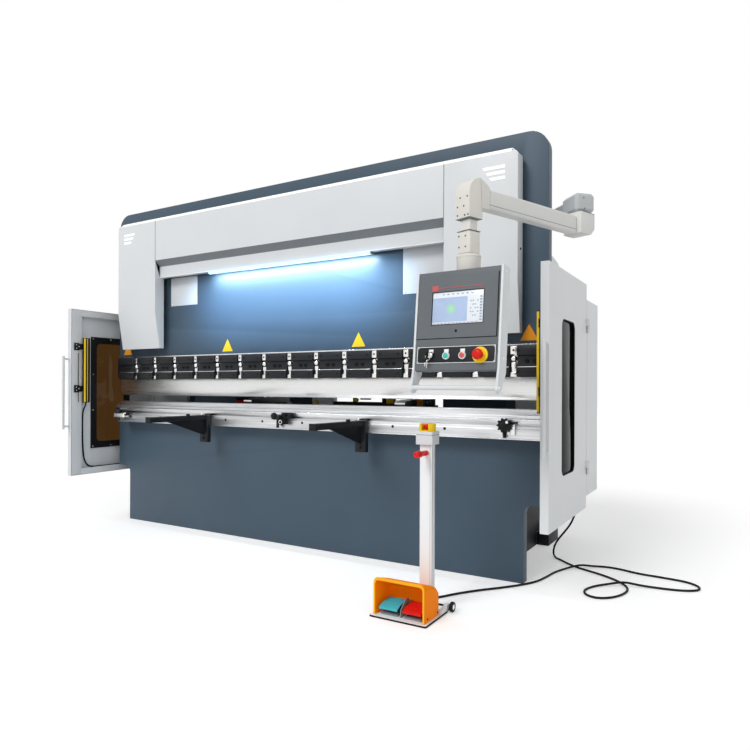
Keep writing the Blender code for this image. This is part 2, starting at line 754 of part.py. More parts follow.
def piston_rod(name, side):
    x = side * cylinder_x()
    sill = ram_bottom() + RAM_WINDOW_SILL + GAP
    foot = rod(name, (x, 0, sill), (x, 0, sill + 0.018), ROD_RADIUS + 0.018, steel(), 24)
    bar = rod("bar", (x, 0, sill + 0.01), (x, 0, CYLINDER_BOTTOM + ROD_ENGAGED), ROD_RADIUS,
              steel(), 24)
    return fuse(foot, bar)


def cover_centre():
    """The middle cover: one bent sheet with a sloped step and a set-back band along its bottom."""
    path = [(-COVER_REAR, COVER_TOP), (-COVER_FRONT + COVER_EDGE, COVER_TOP),
            (-COVER_FRONT, COVER_TOP - COVER_EDGE), (-COVER_FRONT, BAND_SLOPE_TOP),
            (-BAND_FRONT, BAND_TOP), (-BAND_FRONT, BAND_BOTTOM), (-COVER_REAR, BAND_BOTTOM)]
    half = COVER_SEAM - GAP
    return prism("cover_centre", bent_sheet(path, -SHEET), "X", -half, half, pale())


def cover_leg():
    """The right leg of the cover: a folded box, open behind and below, that leans back at its toe."""
    def shell(name, inset, lip):
        inside, outside = COVER_SEAM + inset, COVER_HALF - inset
        front, top, rear = -COVER_FRONT + inset, COVER_TOP - inset, -COVER_REAR + lip
        toe = front + COVER_TOE
        corner = COVER_CORNER
        outline = [(inside, COVER_BOTTOM - lip), (outside, COVER_BOTTOM - lip), (outside, top - corner),
                   (outside - corner, top), (inside, top)]
        solid = prism(name, outline, "Y", front, rear, pale())
        reach = 0.2
        wedge = prism("wedge", [(front - reach, COVER_KINK), (front, COVER_KINK),
                                (toe, COVER_BOTTOM), (toe + COVER_TOE * reach, COVER_BOTTOM - reach),
                                (front - reach, COVER_BOTTOM - reach)],
                      "X", COVER_SEAM - reach, COVER_HALF + reach, pale())
        return cut(solid, wedge)
    leg = shell("cover_right", 0.0, 0.0)
    edge = COVER_EDGE
    front, top = -COVER_FRONT, COVER_TOP
    chamfer = prism("chamfer", [(front - edge, top - 2 * edge), (front + 2 * edge, top + edge),
                                (front - edge, top + edge)], "X", 0, COVER_HALF + 0.1, pale())
    cut(leg, chamfer)
    cut(leg, shell("hollow", SHEET, 0.02))
    return leg


def led_strip():
    top = BAND_BOTTOM - GAP
    rear = -COVER_REAR - 0.002
    return block("led_strip", (-LED_LENGTH / 2, rear - LED_DEPTH, top - LED_HEIGHT),
                 (LED_LENGTH / 2, rear, top), material("led", (0.9, 0.95, 1.0), 0.3), 0.002)


def hinge_axis():
    return SIDE_OUTSIDE + HINGE_RADIUS, SIDE_FRONT - GUARD_REAR_GAP / 2


def side_cover():
    """The right cabinet behind the guard, with the lower knuckles of the guard's hinges."""
    body = block("side_cover_right", (FRAME_OUTSIDE + GAP, SIDE_FRONT, SIDE_BOTTOM),
                 (SIDE_OUTSIDE, SIDE_FRONT + SIDE_DEPTH, SIDE_TOP), pale(), 0.004)
    x, y = hinge_axis()
    for z in HINGE_HEIGHTS:
        leaf = block("leaf", (x - 0.016, y + 0.001, z - HINGE_LENGTH), (x, y + 0.028, z), pale())
        knuckle = rod("knuckle", (x, y, z - HINGE_LENGTH), (x, y, z), HINGE_RADIUS, pale(), 12)
        fuse(leaf, knuckle)
        fuse(body, leaf)
    return body


def guard():
    """The right guard: a sheet pan with folded lips, a window and the upper hinge knuckles."""
    out = SIDE_OUTSIDE
    front, rear = -GUARD_FRONT, SIDE_FRONT - GUARD_REAR_GAP
    low, high = GUARD_BOTTOM, GUARD_TOP
    paint = pale()
    pan = block("guard_right", (out - GUARD_BOTTOM_LIP, front, low), (out, rear, high), paint)
    pocket = block("pocket", (out - 0.2, front + SHEET, low + SHEET),
                   (out - SHEET, rear - SHEET, high - SHEET), paint)
    cut(pan, pocket)
    trim_top = block("trim", (out - 0.2, front - 0.1, high - 2 * SHEET), (out - GUARD_TOP_LIP,
                     rear + 0.1, high + 0.1), paint)
    trim_rear = block("trim", (out - 0.2, rear - 2 * SHEET, low - 0.1), (out - GUARD_REAR_LIP,
                      rear + 0.1, high + 0.1), paint)
    cut(pan, trim_top, trim_rear)
    lip = block("lip", (out - GUARD_FRONT_LIP, front, low), (out - 0.001, front + SHEET, high), paint)
    fuse(pan, lip)
    hole = rounded([(-WINDOW_FRONT - PLATE / 2, WINDOW_BOTTOM, WINDOW_RADIUS),
                    (WINDOW_REAR, WINDOW_BOTTOM, WINDOW_RADIUS), (WINDOW_REAR, WINDOW_TOP, WINDOW_RADIUS),
                    (-WINDOW_FRONT - PLATE / 2, WINDOW_TOP, WINDOW_RADIUS)], 3)
    cut(pan, prism("hole", hole, "X", out - 0.02, out + 0.02, paint))
    x, y = hinge_axis()
    for z in HINGE_HEIGHTS:
        bottom = z + 2 * GAP
        leaf = block("leaf", (x - 0.010, y - 0.028, bottom), (x, y - 0.001, bottom + HINGE_LENGTH), paint)
        knuckle = rod("knuckle", (x, y, bottom), (x, y, bottom + HINGE_LENGTH), HINGE_RADIUS, paint, 12)
        fuse(leaf, knuckle)
        fuse(pan, leaf)
    return pan


def guard_window():
    """The black window frame on the guard's inner face, with its pane let into it."""
    face = SIDE_OUTSIDE - SHEET - GAP
    front, rear = -WINDOW_FRONT - PLATE / 2, WINDOW_REAR
    low, high = WINDOW_BOTTOM, WINDOW_TOP
    border = WINDOW_BORDER
    frame = block("guard_window_right", (face - WINDOW_FRAME, front - border, low - border),
                  (face, rear + border, high + border), black(), 0.0015)
    hole = rounded([(front, low, WINDOW_RADIUS), (rear, low, WINDOW_RADIUS),
                    (rear, high, WINDOW_RADIUS), (front, high, WINDOW_RADIUS)], 3)
    deep = (WINDOW_FRAME - WINDOW_PANE) / 2
    cut(frame, prism("recess", hole, "X", face - WINDOW_FRAME - 0.01, face - WINDOW_FRAME + deep, black()))
    cut(frame, prism("recess", hole, "X", face - deep, face + 0.01, black()))
    return frame


def guard_handle():
    """A bow handle on the guard's front edge."""
    front = -GUARD_FRONT - GAP
    x = SIDE_OUTSIDE - GUARD_FRONT_LIP / 2 + 0.012
    far = front - HANDLE_REACH
    bar = rod("guard_handle_right", (x, far, HANDLE_BOTTOM), (x, far, HANDLE_TOP), HANDLE_RADIUS,
              pale(), 12)
    for z in (HANDLE_BOTTOM + 0.02, HANDLE_TOP - 0.02):
        leg = rod("leg", (x, far, z), (x, front, z), 0.8 * HANDLE_RADIUS, pale(), 10)
        fuse(bar, leg)
    return bar


def light_curtain():
    """A light barrier bar held by two brackets on the guard's front lip."""
    x = SIDE_OUTSIDE - GUARD_FRONT_LIP
    y = -GUARD_FRONT + CURTAIN_SETBACK
    half = CURTAIN_SIZE / 2
    bar = block("light_curtain_right", (x - half, y - half, CURTAIN_BOTTOM),
                (x + half, y + half, CURTAIN_TOP), material("curtain", (0.75, 0.55, 0.05), 0.5), 0.002)
    for z in CURTAIN_BRACKETS:
        high = z + CURTAIN_BRACKET_HEIGHT
        fuse(bar, block("bracket", (x - 0.004, -GUARD_FRONT + SHEET + GAP, z),
                        (x + 0.030, y - 0.5 * half, high), black()))
    return bar


def support_arm(name, x):
    """A sheet support on the rail: post, tube, gusset and the T-nut that runs in the slot."""
    rear = rail_front() - GAP
    front = rear - SUPPORT_POST_DEPTH
    half = SUPPORT_POST_WIDTH / 2
    paint = black()
    post = block(name, (x - half, front, SUPPORT_POST_BOTTOM), (x + half, rear, SUPPORT_TOP), paint, 0.003)
    tip, wide = -SUPPORT_REACH, SUPPORT_WIDTH / 2
    tube = block("tube", (x - wide, tip, SUPPORT_TOP - SUPPORT_TUBE), (x + wide, rear - 0.004, SUPPORT_TOP),
                 paint, 0.003)
    thin = GUSSET_THICKNESS / 2
    under = SUPPORT_TOP - SUPPORT_TUBE + 0.006
    gusset = prism("gusset", [(tip + 0.12, under), (front + 0.004, under),
                              (front + 0.004, SUPPORT_POST_BOTTOM + 0.045)],
                   "X", x - thin, x + thin, paint)
    middle = slot_middle()
    seat = rail_front() + 0.006
    neck = block("neck", (x - 0.022, rear - 0.004, middle - SLOT_MOUTH / 2 + RUN),
                 (x + 0.022, seat + SLOT_MOUTH_DEPTH + 0.004, middle + SLOT_MOUTH / 2 - RUN), paint)
    nut = block("nut", (x - 0.026, seat + SLOT_MOUTH_DEPTH + RUN, middle - SLOT_ROOM / 2 + RUN),
                (x + 0.026, seat + SLOT_DEPTH - RUN, middle + SLOT_ROOM / 2 - RUN), paint)
    return fuse(post, tube, gusset, neck, nut)


def towards(origin, angle, along, across, z):
    """A point at a distance along and across a direction in the XY plane, at height z."""
    a = math.radians(angle)
    return (origin[0] + along * math.cos(a) - across * math.sin(a),
            origin[1] + along * math.sin(a) + across * math.cos(a), z)


def beam(name, origin, angle, start, end, width, low, high, paint, bevel=0.004):
    """A straight square tube that points in a direction in the XY plane."""
    solid = block(name, (start, -width / 2, low), (end, width / 2, high), paint, bevel)
    turn = Matrix.Translation((origin[0], origin[1], 0)) @ Matrix.Rotation(math.radians(angle), 4, "Z")
    solid.data.transform(turn)
    return solid


def arm_bracket():
    """The fixed end of the console arm: wall flange, stub tube and upper elbow."""
    pivot = (PIVOT_X, PIVOT_Y)
    high = ELBOW_TOP - 0.008
    elbow = beam("arm_bracket", pivot, STUB_ANGLE, -ELBOW / 2, ELBOW / 2 + 0.03, ELBOW,
                 ELBOW_SPLIT + GAP, ELBOW_TOP, cream(), 0.014)
    stub = beam("stub", pivot, STUB_ANGLE, ELBOW / 2, STUB_LENGTH, STUB_WIDTH,
                high - STUB_HEIGHT, high, cream(), 0.010)
    flange_y = PIVOT_Y + (PIVOT_X - FRAME_OUTSIDE) * math.tan(math.radians(180 - STUB_ANGLE))
    flange = block("flange", (FRAME_OUTSIDE + GAP, flange_y - 0.10, high - STUB_HEIGHT - 0.05),
                   (FRAME_OUTSIDE + 0.014, flange_y + 0.10, high + 0.03), cream(), 0.002)
    fuse(elbow, stub, flange)
    inside = block("inside", (FRAME_OUTSIDE - 0.5, -1, 1), (FRAME_OUTSIDE + GAP, 2, 3), cream())
    return cut(elbow, inside)


def arm_direction():
    return math.degrees(math.atan2(CONSOLE_Y - PIVOT_Y, CONSOLE_X - PIVOT_X))


def arm_reach():
    return math.hypot(CONSOLE_X - PIVOT_X, CONSOLE_Y - PIVOT_Y)


def arm_frame():
    """From the arm's own axes to the world: it points from the pivot to the console."""
    return (Matrix.Translation((PIVOT_X, PIVOT_Y, 0))
            @ Matrix.Rotation(math.radians(arm_direction()), 4, "Z"))


def arm_elbow():
    """The swinging elbow under the fixed one, sloped under its outer end."""
    half, low, high = ELBOW / 2, ARM_ELBOW_BOTTOM, ELBOW_SPLIT - GAP
    outline = rounded([(-half, low + 0.028, 0), (-half + 0.030, low, 0), (half + 0.010, low, 0),
                       (half + 0.010, high, 0), (-half, high, 0)])
    elbow = prism("arm_elbow", outline, "Y", -0.47 * ELBOW, 0.47 * ELBOW, cream())
    elbow.data.transform(arm_frame())
    return elbow


def tail_rear():
    return arm_reach() - TAIL_SIZE / 2 - TAIL_LEG


def arm_tube():
    return beam("arm_tube", (PIVOT_X, PIVOT_Y), arm_direction(), ELBOW / 2 + 0.010 + GAP,
                tail_rear() - GAP, ARM_TUBE_WIDTH, ARM_TUBE_BOTTOM, ARM_TUBE_BOTTOM + ARM_TUBE_HEIGHT,
                cream(), 0.006)


def arm_tail():
    """The elbow above the console: a box with a rounded top and a tapered leg to the tube."""
    radius, wide = TAIL_SIZE / 2, TAIL_SIZE / 2
    low, high = TAIL_ELBOW_BOTTOM, TAIL_ELBOW_TOP
    reach, rear = arm_reach(), tail_rear()
    leg_low, leg_high = ARM_TUBE_BOTTOM - 0.003, ARM_TUBE_BOTTOM + ARM_TUBE_HEIGHT + 0.004
    outline = rounded([(rear, leg_high, 0), (rear, leg_low, 0), (reach - radius, leg_low - 0.006, 0),
                       (reach - radius, low, 0), (reach + radius, low, 0), (reach + radius, high, 0.066),
                       (reach - radius + 0.010, high, 0.020)], 5)
    tail = prism("arm_tail", outline, "Y", -wide, wide, cream())
    for side in (-1, 1):
        waist = prism("waist", [(reach - radius - 0.004, side * wide), (rear - 0.01, side * wide * 0.72),
                                (rear - 0.01, side * 2 * wide), (reach, side * 2 * wide)],
                      "Z", low - 0.01, high + 0.01, cream())
        cut(tail, waist)
    tail.data.transform(arm_frame())
    return tail


def arm_stem():
    """The square stem below the tail elbow and the clamp coupling on the console's collar."""
    half, wide = STEM_WIDTH / 2, COUPLING_WIDTH / 2
    middle = COLLAR_TOP + COUPLING_HEIGHT
    stem = block("arm_stem", (-half, -half, middle - 0.01), (half, half, TAIL_ELBOW_BOTTOM - GAP),
                 cream(), 0.005)
    coupling = block("coupling", (-wide, -wide, COLLAR_TOP + GAP), (wide, wide, middle), cream(), 0.006)
    stem = fuse(stem, coupling)
    stem.data.transform(arm_frame() @ Matrix.Translation((arm_reach(), 0, 0)))
    return stem


def console_frame():
    """From the console's own axes to the world: its turning axis is its origin."""
    return Matrix.Translation((CONSOLE_X, CONSOLE_Y, 0)) @ Matrix.Rotation(math.radians(CONSOLE_TURN), 4, "Z")


def placed(piece, tilt=True):
    """Put a console piece in its place, and lean it back about its front if asked."""
    if tilt:
        pivot = Matrix.Translation((0, -CONSOLE_FRONT, CONSOLE_TILT_HEIGHT))
        lean = Matrix.Rotation(math.radians(-CONSOLE_TILT), 4, "X")
        piece.data.transform(pivot @ lean @ pivot.inverted())
    piece.data.transform(console_frame())
    return piece


def console_collar():
    """The round bearing collar on the console's housing, with its lip."""
    high = COLLAR_HEIGHT - GAP
    return placed(turned("console_collar", [
        (0, 0), (COLLAR_RADIUS, 0), (COLLAR_RADIUS, high - 0.012), (COLLAR_RADIUS + 0.0015, high - 0.010),
        (COLLAR_RADIUS + 0.0015, high - 0.004), (COLLAR_RADIUS - 0.004, high), (0, high)],
        (0, 0, CASE_TOP + GAP), (0, 0, 1), cream(), 24), False)


def console_body():
    """The grey housing with its screen opening, its button panel's recess and its rear case."""
    half = CONSOLE_WIDTH / 2 - CONSOLE_CHEEK - GAP
    front, rear = -CONSOLE_FRONT, -CONSOLE_FRONT + CONSOLE_DEPTH
    body = block("console_body", (-half, front, CONSOLE_BOTTOM), (half, rear, CONSOLE_TOP),
                 charcoal(), 0.003)
    wide, tall = SCREEN_WIDTH / 2, SCREEN_HEIGHT / 2
    screen = block("opening", (-wide - GAP, front - 0.01, SCREEN_MIDDLE - tall - GAP),
                   (wide + GAP, front + 0.010, SCREEN_MIDDLE + tall + GAP), charcoal())
    edge = SUBPANEL_BORDER
    panel = block("recess", (-half + edge, front - 0.01, SUBPANEL_BOTTOM - GAP),
                  (half - edge, front + 0.004, SUBPANEL_BOTTOM + SUBPANEL_HEIGHT + GAP), charcoal())
    placed(cut(body, screen, panel))
    case = block("case", (-CASE_WIDTH / 2, front + 0.75 * CONSOLE_DEPTH, CASE_BOTTOM),
                 (CASE_WIDTH / 2, CASE_REAR, CASE_TOP), charcoal(), 0.004)
    return fuse(body, placed(case, False))


def console_screen():
    wide, tall = SCREEN_WIDTH / 2, SCREEN_HEIGHT / 2
    front = -CONSOLE_FRONT
    return placed(block("console_screen", (-wide, front + 0.002, SCREEN_MIDDLE - tall),
                        (wide, front + 0.010 - GAP, SCREEN_MIDDLE + tall),
                        material("screen", (0.6, 0.7, 0.85), 0.2)))


def console_panel():
    """The black button panel with its key switch and two push buttons."""
    half = CONSOLE_WIDTH / 2 - CONSOLE_CHEEK - SUBPANEL_BORDER - 2 * GAP
    front = -CONSOLE_FRONT
    low = SUBPANEL_BOTTOM
    panel = block("console_panel", (-half, front - 0.001, low), (half, front + 0.004 - GAP, low +
                  SUBPANEL_HEIGHT), black(), 0.0008)
    middle = low + 0.46 * SUBPANEL_HEIGHT
    for x in BUTTON_PLACES:
        button = turned("button", [(0, -0.002), (0.014, -0.002), (0.014, 0.006), (0.011, 0.010),
                                   (0, 0.010)], (x, front - 0.001, middle), (0, -1, 0), steel(), 16)
        fuse(panel, button)
    return placed(panel)


def console_stop():
    """The emergency stop: collar and mushroom head."""
    front = -CONSOLE_FRONT - 0.001 - GAP
    middle = SUBPANEL_BOTTOM + 0.46 * SUBPANEL_HEIGHT
    profile = [(0, 0), (0.030, 0), (0.030, 0.002), (0.013, 0.004), (0.013, 0.018), (STOP_RADIUS, 0.022),
               (STOP_RADIUS, 0.030), (0.8 * STOP_RADIUS, 0.036), (0, 0.038)]
    return placed(turned("console_stop", profile, (STOP_PLACE, front, middle), (0, -1, 0),
                         material("red", (0.75, 0.03, 0.02), 0.35), 20))


def console_handle():
    """The white bow round the housing: two side plates and the round hand bar between them."""
    half = CONSOLE_WIDTH / 2 - CONSOLE_CHEEK / 2
    y = -CONSOLE_FRONT - 0.004
    bar = rod("console_handle", (-half, y, BAR_HEIGHT), (half, y, BAR_HEIGHT), BAR_RADIUS, pale(), 16)
    return placed(fuse(bar, console_cheek(-1), console_cheek(1)))


def console_cheek(side):
    """A side plate of the console that runs down to the hand bar and narrows there."""
    front = -CONSOLE_FRONT - 0.003
    rear = -CONSOLE_FRONT + CHEEK_DEPTH
    low = CHEEK_BOTTOM
    outline = rounded([(front, CONSOLE_TOP + 0.002, 0.004), (front, CONSOLE_BOTTOM + 0.01, 0),
                       (front - 0.014, low + 0.012, 0.010), (front + 0.006, low, 0.010),
                       (front + 0.024, low + 0.010, 0.010), (rear, CONSOLE_BOTTOM - 0.005, 0.02),
                       (rear, CONSOLE_TOP + 0.002, 0.004)], 3)
    inner = side * (CONSOLE_WIDTH / 2 - CONSOLE_CHEEK)
    outer = side * CONSOLE_WIDTH / 2
    return prism("cheek", outline, "X", min(inner, outer), max(inner, outer), pale())


def gauge_guide():
    """Two guide bars behind the bed on one cross plate."""
    rear = PLATE / 2 + GAP
    half = GAUGE_PLATE_LENGTH / 2
    plate = block("gauge_guide", (-half, rear, GAUGE_PLATE_BOTTOM),
                  (half, rear + GAUGE_PLATE, GAUGE_PLATE_BOTTOM + GAUGE_PLATE_HEIGHT), slate())
    for x in (-WAY_SPACING / 2, WAY_SPACING / 2):
        fuse(plate, block("way", (x - WAY_SIZE / 2, rear + 0.75 * GAUGE_PLATE, WAY_TOP - WAY_SIZE),
                          (x + WAY_SIZE / 2, rear + WAY_LENGTH, WAY_TOP), steel()))
    return plate


def gauge_beam():
    """The back gauge: saddles on the guide bars, cross beam and two stop fingers on their turrets."""
    y, size = GAUGE_HOME, GAUGE_BEAM_SIZE
    low, high = GAUGE_BEAM_BOTTOM, GAUGE_BEAM_BOTTOM + GAUGE_BEAM_SIZE
    half = GAUGE_BEAM_LENGTH / 2
    beam_part = block("gauge_beam", (-half, y, low), (half, y + size, high), black(), 0.004)
    for x in (-WAY_SPACING / 2, WAY_SPACING / 2):
        saddle = block("saddle", (x - SADDLE_WIDTH / 2, y, SADDLE_BOTTOM),
                       (x + SADDLE_WIDTH / 2, y + size, low + 0.005), black())
        cut(saddle, block("way", (x - WAY_SIZE / 2 - RUN, y - 0.01, SADDLE_BOTTOM - 0.04),
                          (x + WAY_SIZE / 2 + RUN, y + size + 0.01, WAY_TOP + GAP), black()))
        fuse(beam_part, saddle)
    rear = y + size - 0.01
    nose = FINGER_TIP + FINGER_NOSE
    for x in FINGER_PLACES:
        turret = block("turret", (x - TURRET_WIDTH / 2, y + 0.01, high - 0.015),
                       (x + TURRET_WIDTH / 2, rear, TURRET_TOP), black(), 0.003)
        finger = prism("finger", [(y + 0.012, TURRET_TOP - 0.010), (rear - 0.002, TURRET_TOP - 0.010),
                                  (rear - 0.002, FINGER_TOP), (nose, FINGER_TOP), (FINGER_TIP, FINGER_TOP - 0.015),
                                  (FINGER_TIP, FINGER_TOP - 0.032), (nose, FINGER_TOP - 0.038),
                                  (y + 0.012, FINGER_TOP - 0.038)],
                       "X", x - FINGER_WIDTH / 2, x + FINGER_WIDTH / 2, black())
        fuse(beam_part, turret, finger)
    return beam_part


def pedal_base():
    """The floor plate of the pedal station with its rear axle and two wheels."""
    half = PEDAL_WIDTH / 2
    front, rear = -PEDAL_FRONT, -PEDAL_FRONT + PEDAL_DEPTH
    plate = block("pedal_base", (PEDAL_X - half, front, 0), (PEDAL_X + half, rear + 0.06, PEDAL_PLATE), pale(),
                  0.001)
    axle_y = rear + 0.075
    for side in (-1, 1):
        x = PEDAL_X + side * half
        lug = prism("lug", [(rear + 0.02, 0.002), (rear + 0.06, 0.002), (axle_y + 0.012, 0.014),
                            (axle_y + 0.008, 0.034), (axle_y - 0.012, 0.034), (rear + 0.02, 0.012)],
                    "X", x - 0.006 if side > 0 else x, x if side > 0 else x + 0.006, pale())
        wheel = turned("wheel", [(0, 0), (WHEEL_RADIUS - 0.003, 0), (WHEEL_RADIUS, 0.003),
                                 (WHEEL_RADIUS, WHEEL_WIDTH - 0.003), (WHEEL_RADIUS - 0.003, WHEEL_WIDTH),
                                 (0, WHEEL_WIDTH)], (x + side * 0.003, axle_y, WHEEL_RADIUS),
                       (side, 0, 0), black(), 16)
        fuse(plate, lug)
        fuse(plate, rod("axle", (x - side * 0.01, axle_y, WHEEL_RADIUS),
                        (x + side * 0.01, axle_y, WHEEL_RADIUS), AXLE_RADIUS, steel(), 8))
        fuse(plate, wheel)
    return fuse(plate, pedal_yoke())


def hood_shape(name, front, rear, low, kink, high, half, radius, paint):
    """A solid with the hood's side view and, seen from the front, rounded upper corners."""
    side_view = rounded([(front, low, 0), (rear, low, 0), (rear, kink, 0.01),
                         (rear - 0.045, high, 0.02), (front, high, 0)], 3)
    front_view = rounded([(PEDAL_X - half, low, 0), (PEDAL_X + half, low, 0),
                          (PEDAL_X + half, high, radius), (PEDAL_X - half, high, radius)], 5)
    solid = prism(name, side_view, "X", PEDAL_X - half, PEDAL_X + half, paint)
    return boolean(solid, prism("front_view", front_view, "Y", front - 0.01, rear + 0.01, paint), "INTERSECT")


def pedal_hood():
    """The orange hood: rounded in front view, open to the front and below."""
    half, wall = HOOD_WIDTH / 2, HOOD_WALL
    rear = hood_rear()
    front = rear - HOOD_DEPTH
    low = PEDAL_PLATE + GAP
    high = low + HOOD_HEIGHT
    paint = material("orange_paint", (0.90, 0.24, 0.02), 0.4)
    hood = hood_shape("pedal_hood", front, rear, low, low + 0.055, high, half, HOOD_RADIUS, paint)
    cut(hood, hood_shape("hollow", front - 0.05, rear - wall, low - 0.05, low + 0.055, high - wall,
                         half - wall, HOOD_RADIUS - wall, paint))
    sleeve = turned("sleeve", [(0, -0.002), (0.0088, -0.002), (0.0088, 0.008), (0.0070, SLEEVE_LENGTH),
                               (0, SLEEVE_LENGTH)], (cord_route()[-1][0], rear, SLEEVE_HEIGHT), (0, 1, 0),
                    black(), 10)
    return fuse(hood, sleeve)


def pedal(name, x, paint):
    """A foot treadle that tips about a pin at its rear edge."""
    half = PEDAL_SIZE / 2
    pin_y, pin_z = pedal_pin()
    rear, front = pin_y - PIN_RADIUS - GAP, -PEDAL_FRONT + 0.022
    return prism(name, [(front, 0.033), (front + 0.006, 0.030), (rear, pin_z - 0.005),
                        (rear, pin_z + 0.006), (front + 0.03, 0.052), (front, 0.040)],
                 "X", x - half, x + half, paint)


def pedal_pin():
    """Where the treadles turn: distance along Y and height."""
    return -PEDAL_FRONT + 0.126, 0.050


def pedal_yoke():
    """The pin under the hood that carries both treadles, on its post."""
    y, z = pedal_pin()
    half = HOOD_WIDTH / 2 - HOOD_WALL - GAP
    pin = rod("pin", (PEDAL_X - half, y, z), (PEDAL_X + half, y, z), PIN_RADIUS, steel(), 10)
    post = block("post", (PEDAL_X - 0.008, y - 0.012, PEDAL_PLATE - 0.002),
                 (PEDAL_X + 0.008, y + PIN_RADIUS, z + PIN_RADIUS), steel())
    return fuse(pin, post)


def pedal_pole():
    """The pole of the pedal station, bent forward at its foot onto the base plate."""
    half, deep = POLE_WIDTH / 2, POLE_DEPTH / 2
    pole = block("pedal_pole", (POLE_X - half, POLE_Y - deep, PEDAL_PLATE + GAP),
                 (POLE_X + half, POLE_Y + deep, POLE_TOP), pale(), 0.004)
    return pole


def pedal_grip():
    """The red clamp handle on the pole's front."""
    front = POLE_Y - POLE_DEPTH / 2 - GAP
    z = 0.689
    return turned("pedal_grip", [(0, 0), (0.0105, 0), (0.0115, 0.004), (0.0115, 0.060), (0.0145, 0.066),
                                 (0.0145, 0.096), (0.010, 0.102), (0, 0.102)], (POLE_X + 0.006, front, z),
                  (0, -1, 0),
                  material("red", (0.75, 0.03, 0.02), 0.35), 16)


def stop_box():
    """The pole's emergency stop: grey box, yellow guard ring open to the front, red mushroom."""
    wide, deep = STOP_BOX_WIDTH / 2, STOP_BOX_DEPTH / 2
    low = POLE_TOP + GAP
    top = STOP_BOX_HEIGHT
    box = block("stop_box", (POLE_X - wide, POLE_Y - deep, low), (POLE_X + wide, POLE_Y + deep, low + top),
                pale(), 0.003)
    yellow = material("yellow", (0.85, 0.62, 0.03), 0.4)
    ring = turned("ring", [(0, top - 0.004), (0.031, top - 0.004), (0.031, top + 0.002), (0.036, top + 0.005),
                           (0.036, top + 0.030), (0.034, top + 0.034), (0.028, top + 0.034),
                           (0.028, top + 0.007), (0, top + 0.007)], (POLE_X, POLE_Y, low), (0, 0, 1), yellow, 20)
    cut(ring, block("mouth", (POLE_X - 0.018, POLE_Y - 0.06, low + top + 0.010),
                    (POLE_X + 0.018, POLE_Y - 0.004, low + top + 0.06), yellow))
    head = turned("head", [(0, top + 0.002), (0.009, top + 0.002), (0.009, top + 0.014), (0.0165, top + 0.017),
                           (0.0165, top + 0.027), (0.012, top + 0.031), (0, top + 0.032)],
                  (POLE_X, POLE_Y, low), (0, 0, 1), black(), 16)
    return fuse(box, ring, head)


def side_cover_gland():
    """The gland under the cabinet that the cord hangs from."""
    bottom = SIDE_BOTTOM - GAP
    profile = [(0, 0), (GLAND_RADIUS, 0), (GLAND_RADIUS, 0.012), (0.8 * GLAND_RADIUS, 0.016),
               (0.75 * GLAND_RADIUS, 0.026), (0.55 * GLAND_RADIUS, GLAND_LENGTH), (0, GLAND_LENGTH)]
    return turned("cord_gland", profile, (CORD_X, CORD_Y, bottom), (0, 0, -1), black(), 12)


def hood_rear():
    return -PEDAL_FRONT + 0.012 + HOOD_DEPTH


def cord_route():
    """The cord's points in the world."""
    return [(SIDE_OUTSIDE + x, y, z) for x, y, z in CORD_ROUTE]


def cord_ends():
    """Where the cord meets the gland under the cabinet and the sleeve behind the hood."""
    return ((CORD_X, CORD_Y, SIDE_BOTTOM - GAP - GLAND_LENGTH - GAP),
            (cord_route()[-1][0], hood_rear() + SLEEVE_LENGTH + GAP, SLEEVE_HEIGHT))


def smooth(points, count):
    """Evenly spaced points along one smooth curve through the given points."""
    points = [Vector(point) for point in points]
    padded = [2 * points[0] - points[1]] + points + [2 * points[-1] - points[-2]]
    fine = []
    for a, b, c, d in zip(padded, padded[1:], padded[2:], padded[3:]):
        knots = [0.0]
        for first, second in ((a, b), (b, c), (c, d)):
            knots.append(knots[-1] + math.sqrt((second - first).length))
        t0, t1, t2, t3 = knots
        for step in range(12):
            t = t1 + (t2 - t1) * step / 12
            ab = a.lerp(b, (t - t0) / (t1 - t0))
            bc = b.lerp(c, (t - t1) / (t2 - t1))
            cd = c.lerp(d, (t - t2) / (t3 - t2))
            fine.append(ab.lerp(bc, (t - t0) / (t2 - t0)).lerp(bc.lerp(cd, (t - t1) / (t3 - t1)),
                                                                (t - t1) / (t2 - t1)))
    fine.append(points[-1])
    lengths = [0.0]
    for first, second in zip(fine, fine[1:]):
        lengths.append(lengths[-1] + (second - first).length)
    even, k = [], 0
    for i in range(count):
        want = lengths[-1] * i / (count - 1)
        while k < len(fine) - 2 and lengths[k + 1] < want:
            k += 1
        even.append(fine[k].lerp(fine[k + 1], (want - lengths[k]) / (lengths[k + 1] - lengths[k])))
    return even


def cord():
    """The cord that hangs from the cabinet and lies on the floor up to the pedal station."""
    first, last = cord_ends()
    route = smooth([first, *cord_route(), last], CORD_POINTS)
    curve = bpy.data.curves.new("cord", "CURVE")
    curve.dimensions = "3D"
    curve.bevel_depth = CORD_DIAMETER / 2
    curve.bevel_resolution = 2
    curve.use_fill_caps = True
    spline = curve.splines.new("POLY")
    spline.points.add(len(route) - 1)
    for point, place in zip(spline.points, route):
        point.co = (*place, 1.0)
    curve.materials.append(black())
    made = bpy.data.objects.new("cord", curve)
    bpy.context.scene.collection.objects.link(made)
    return made


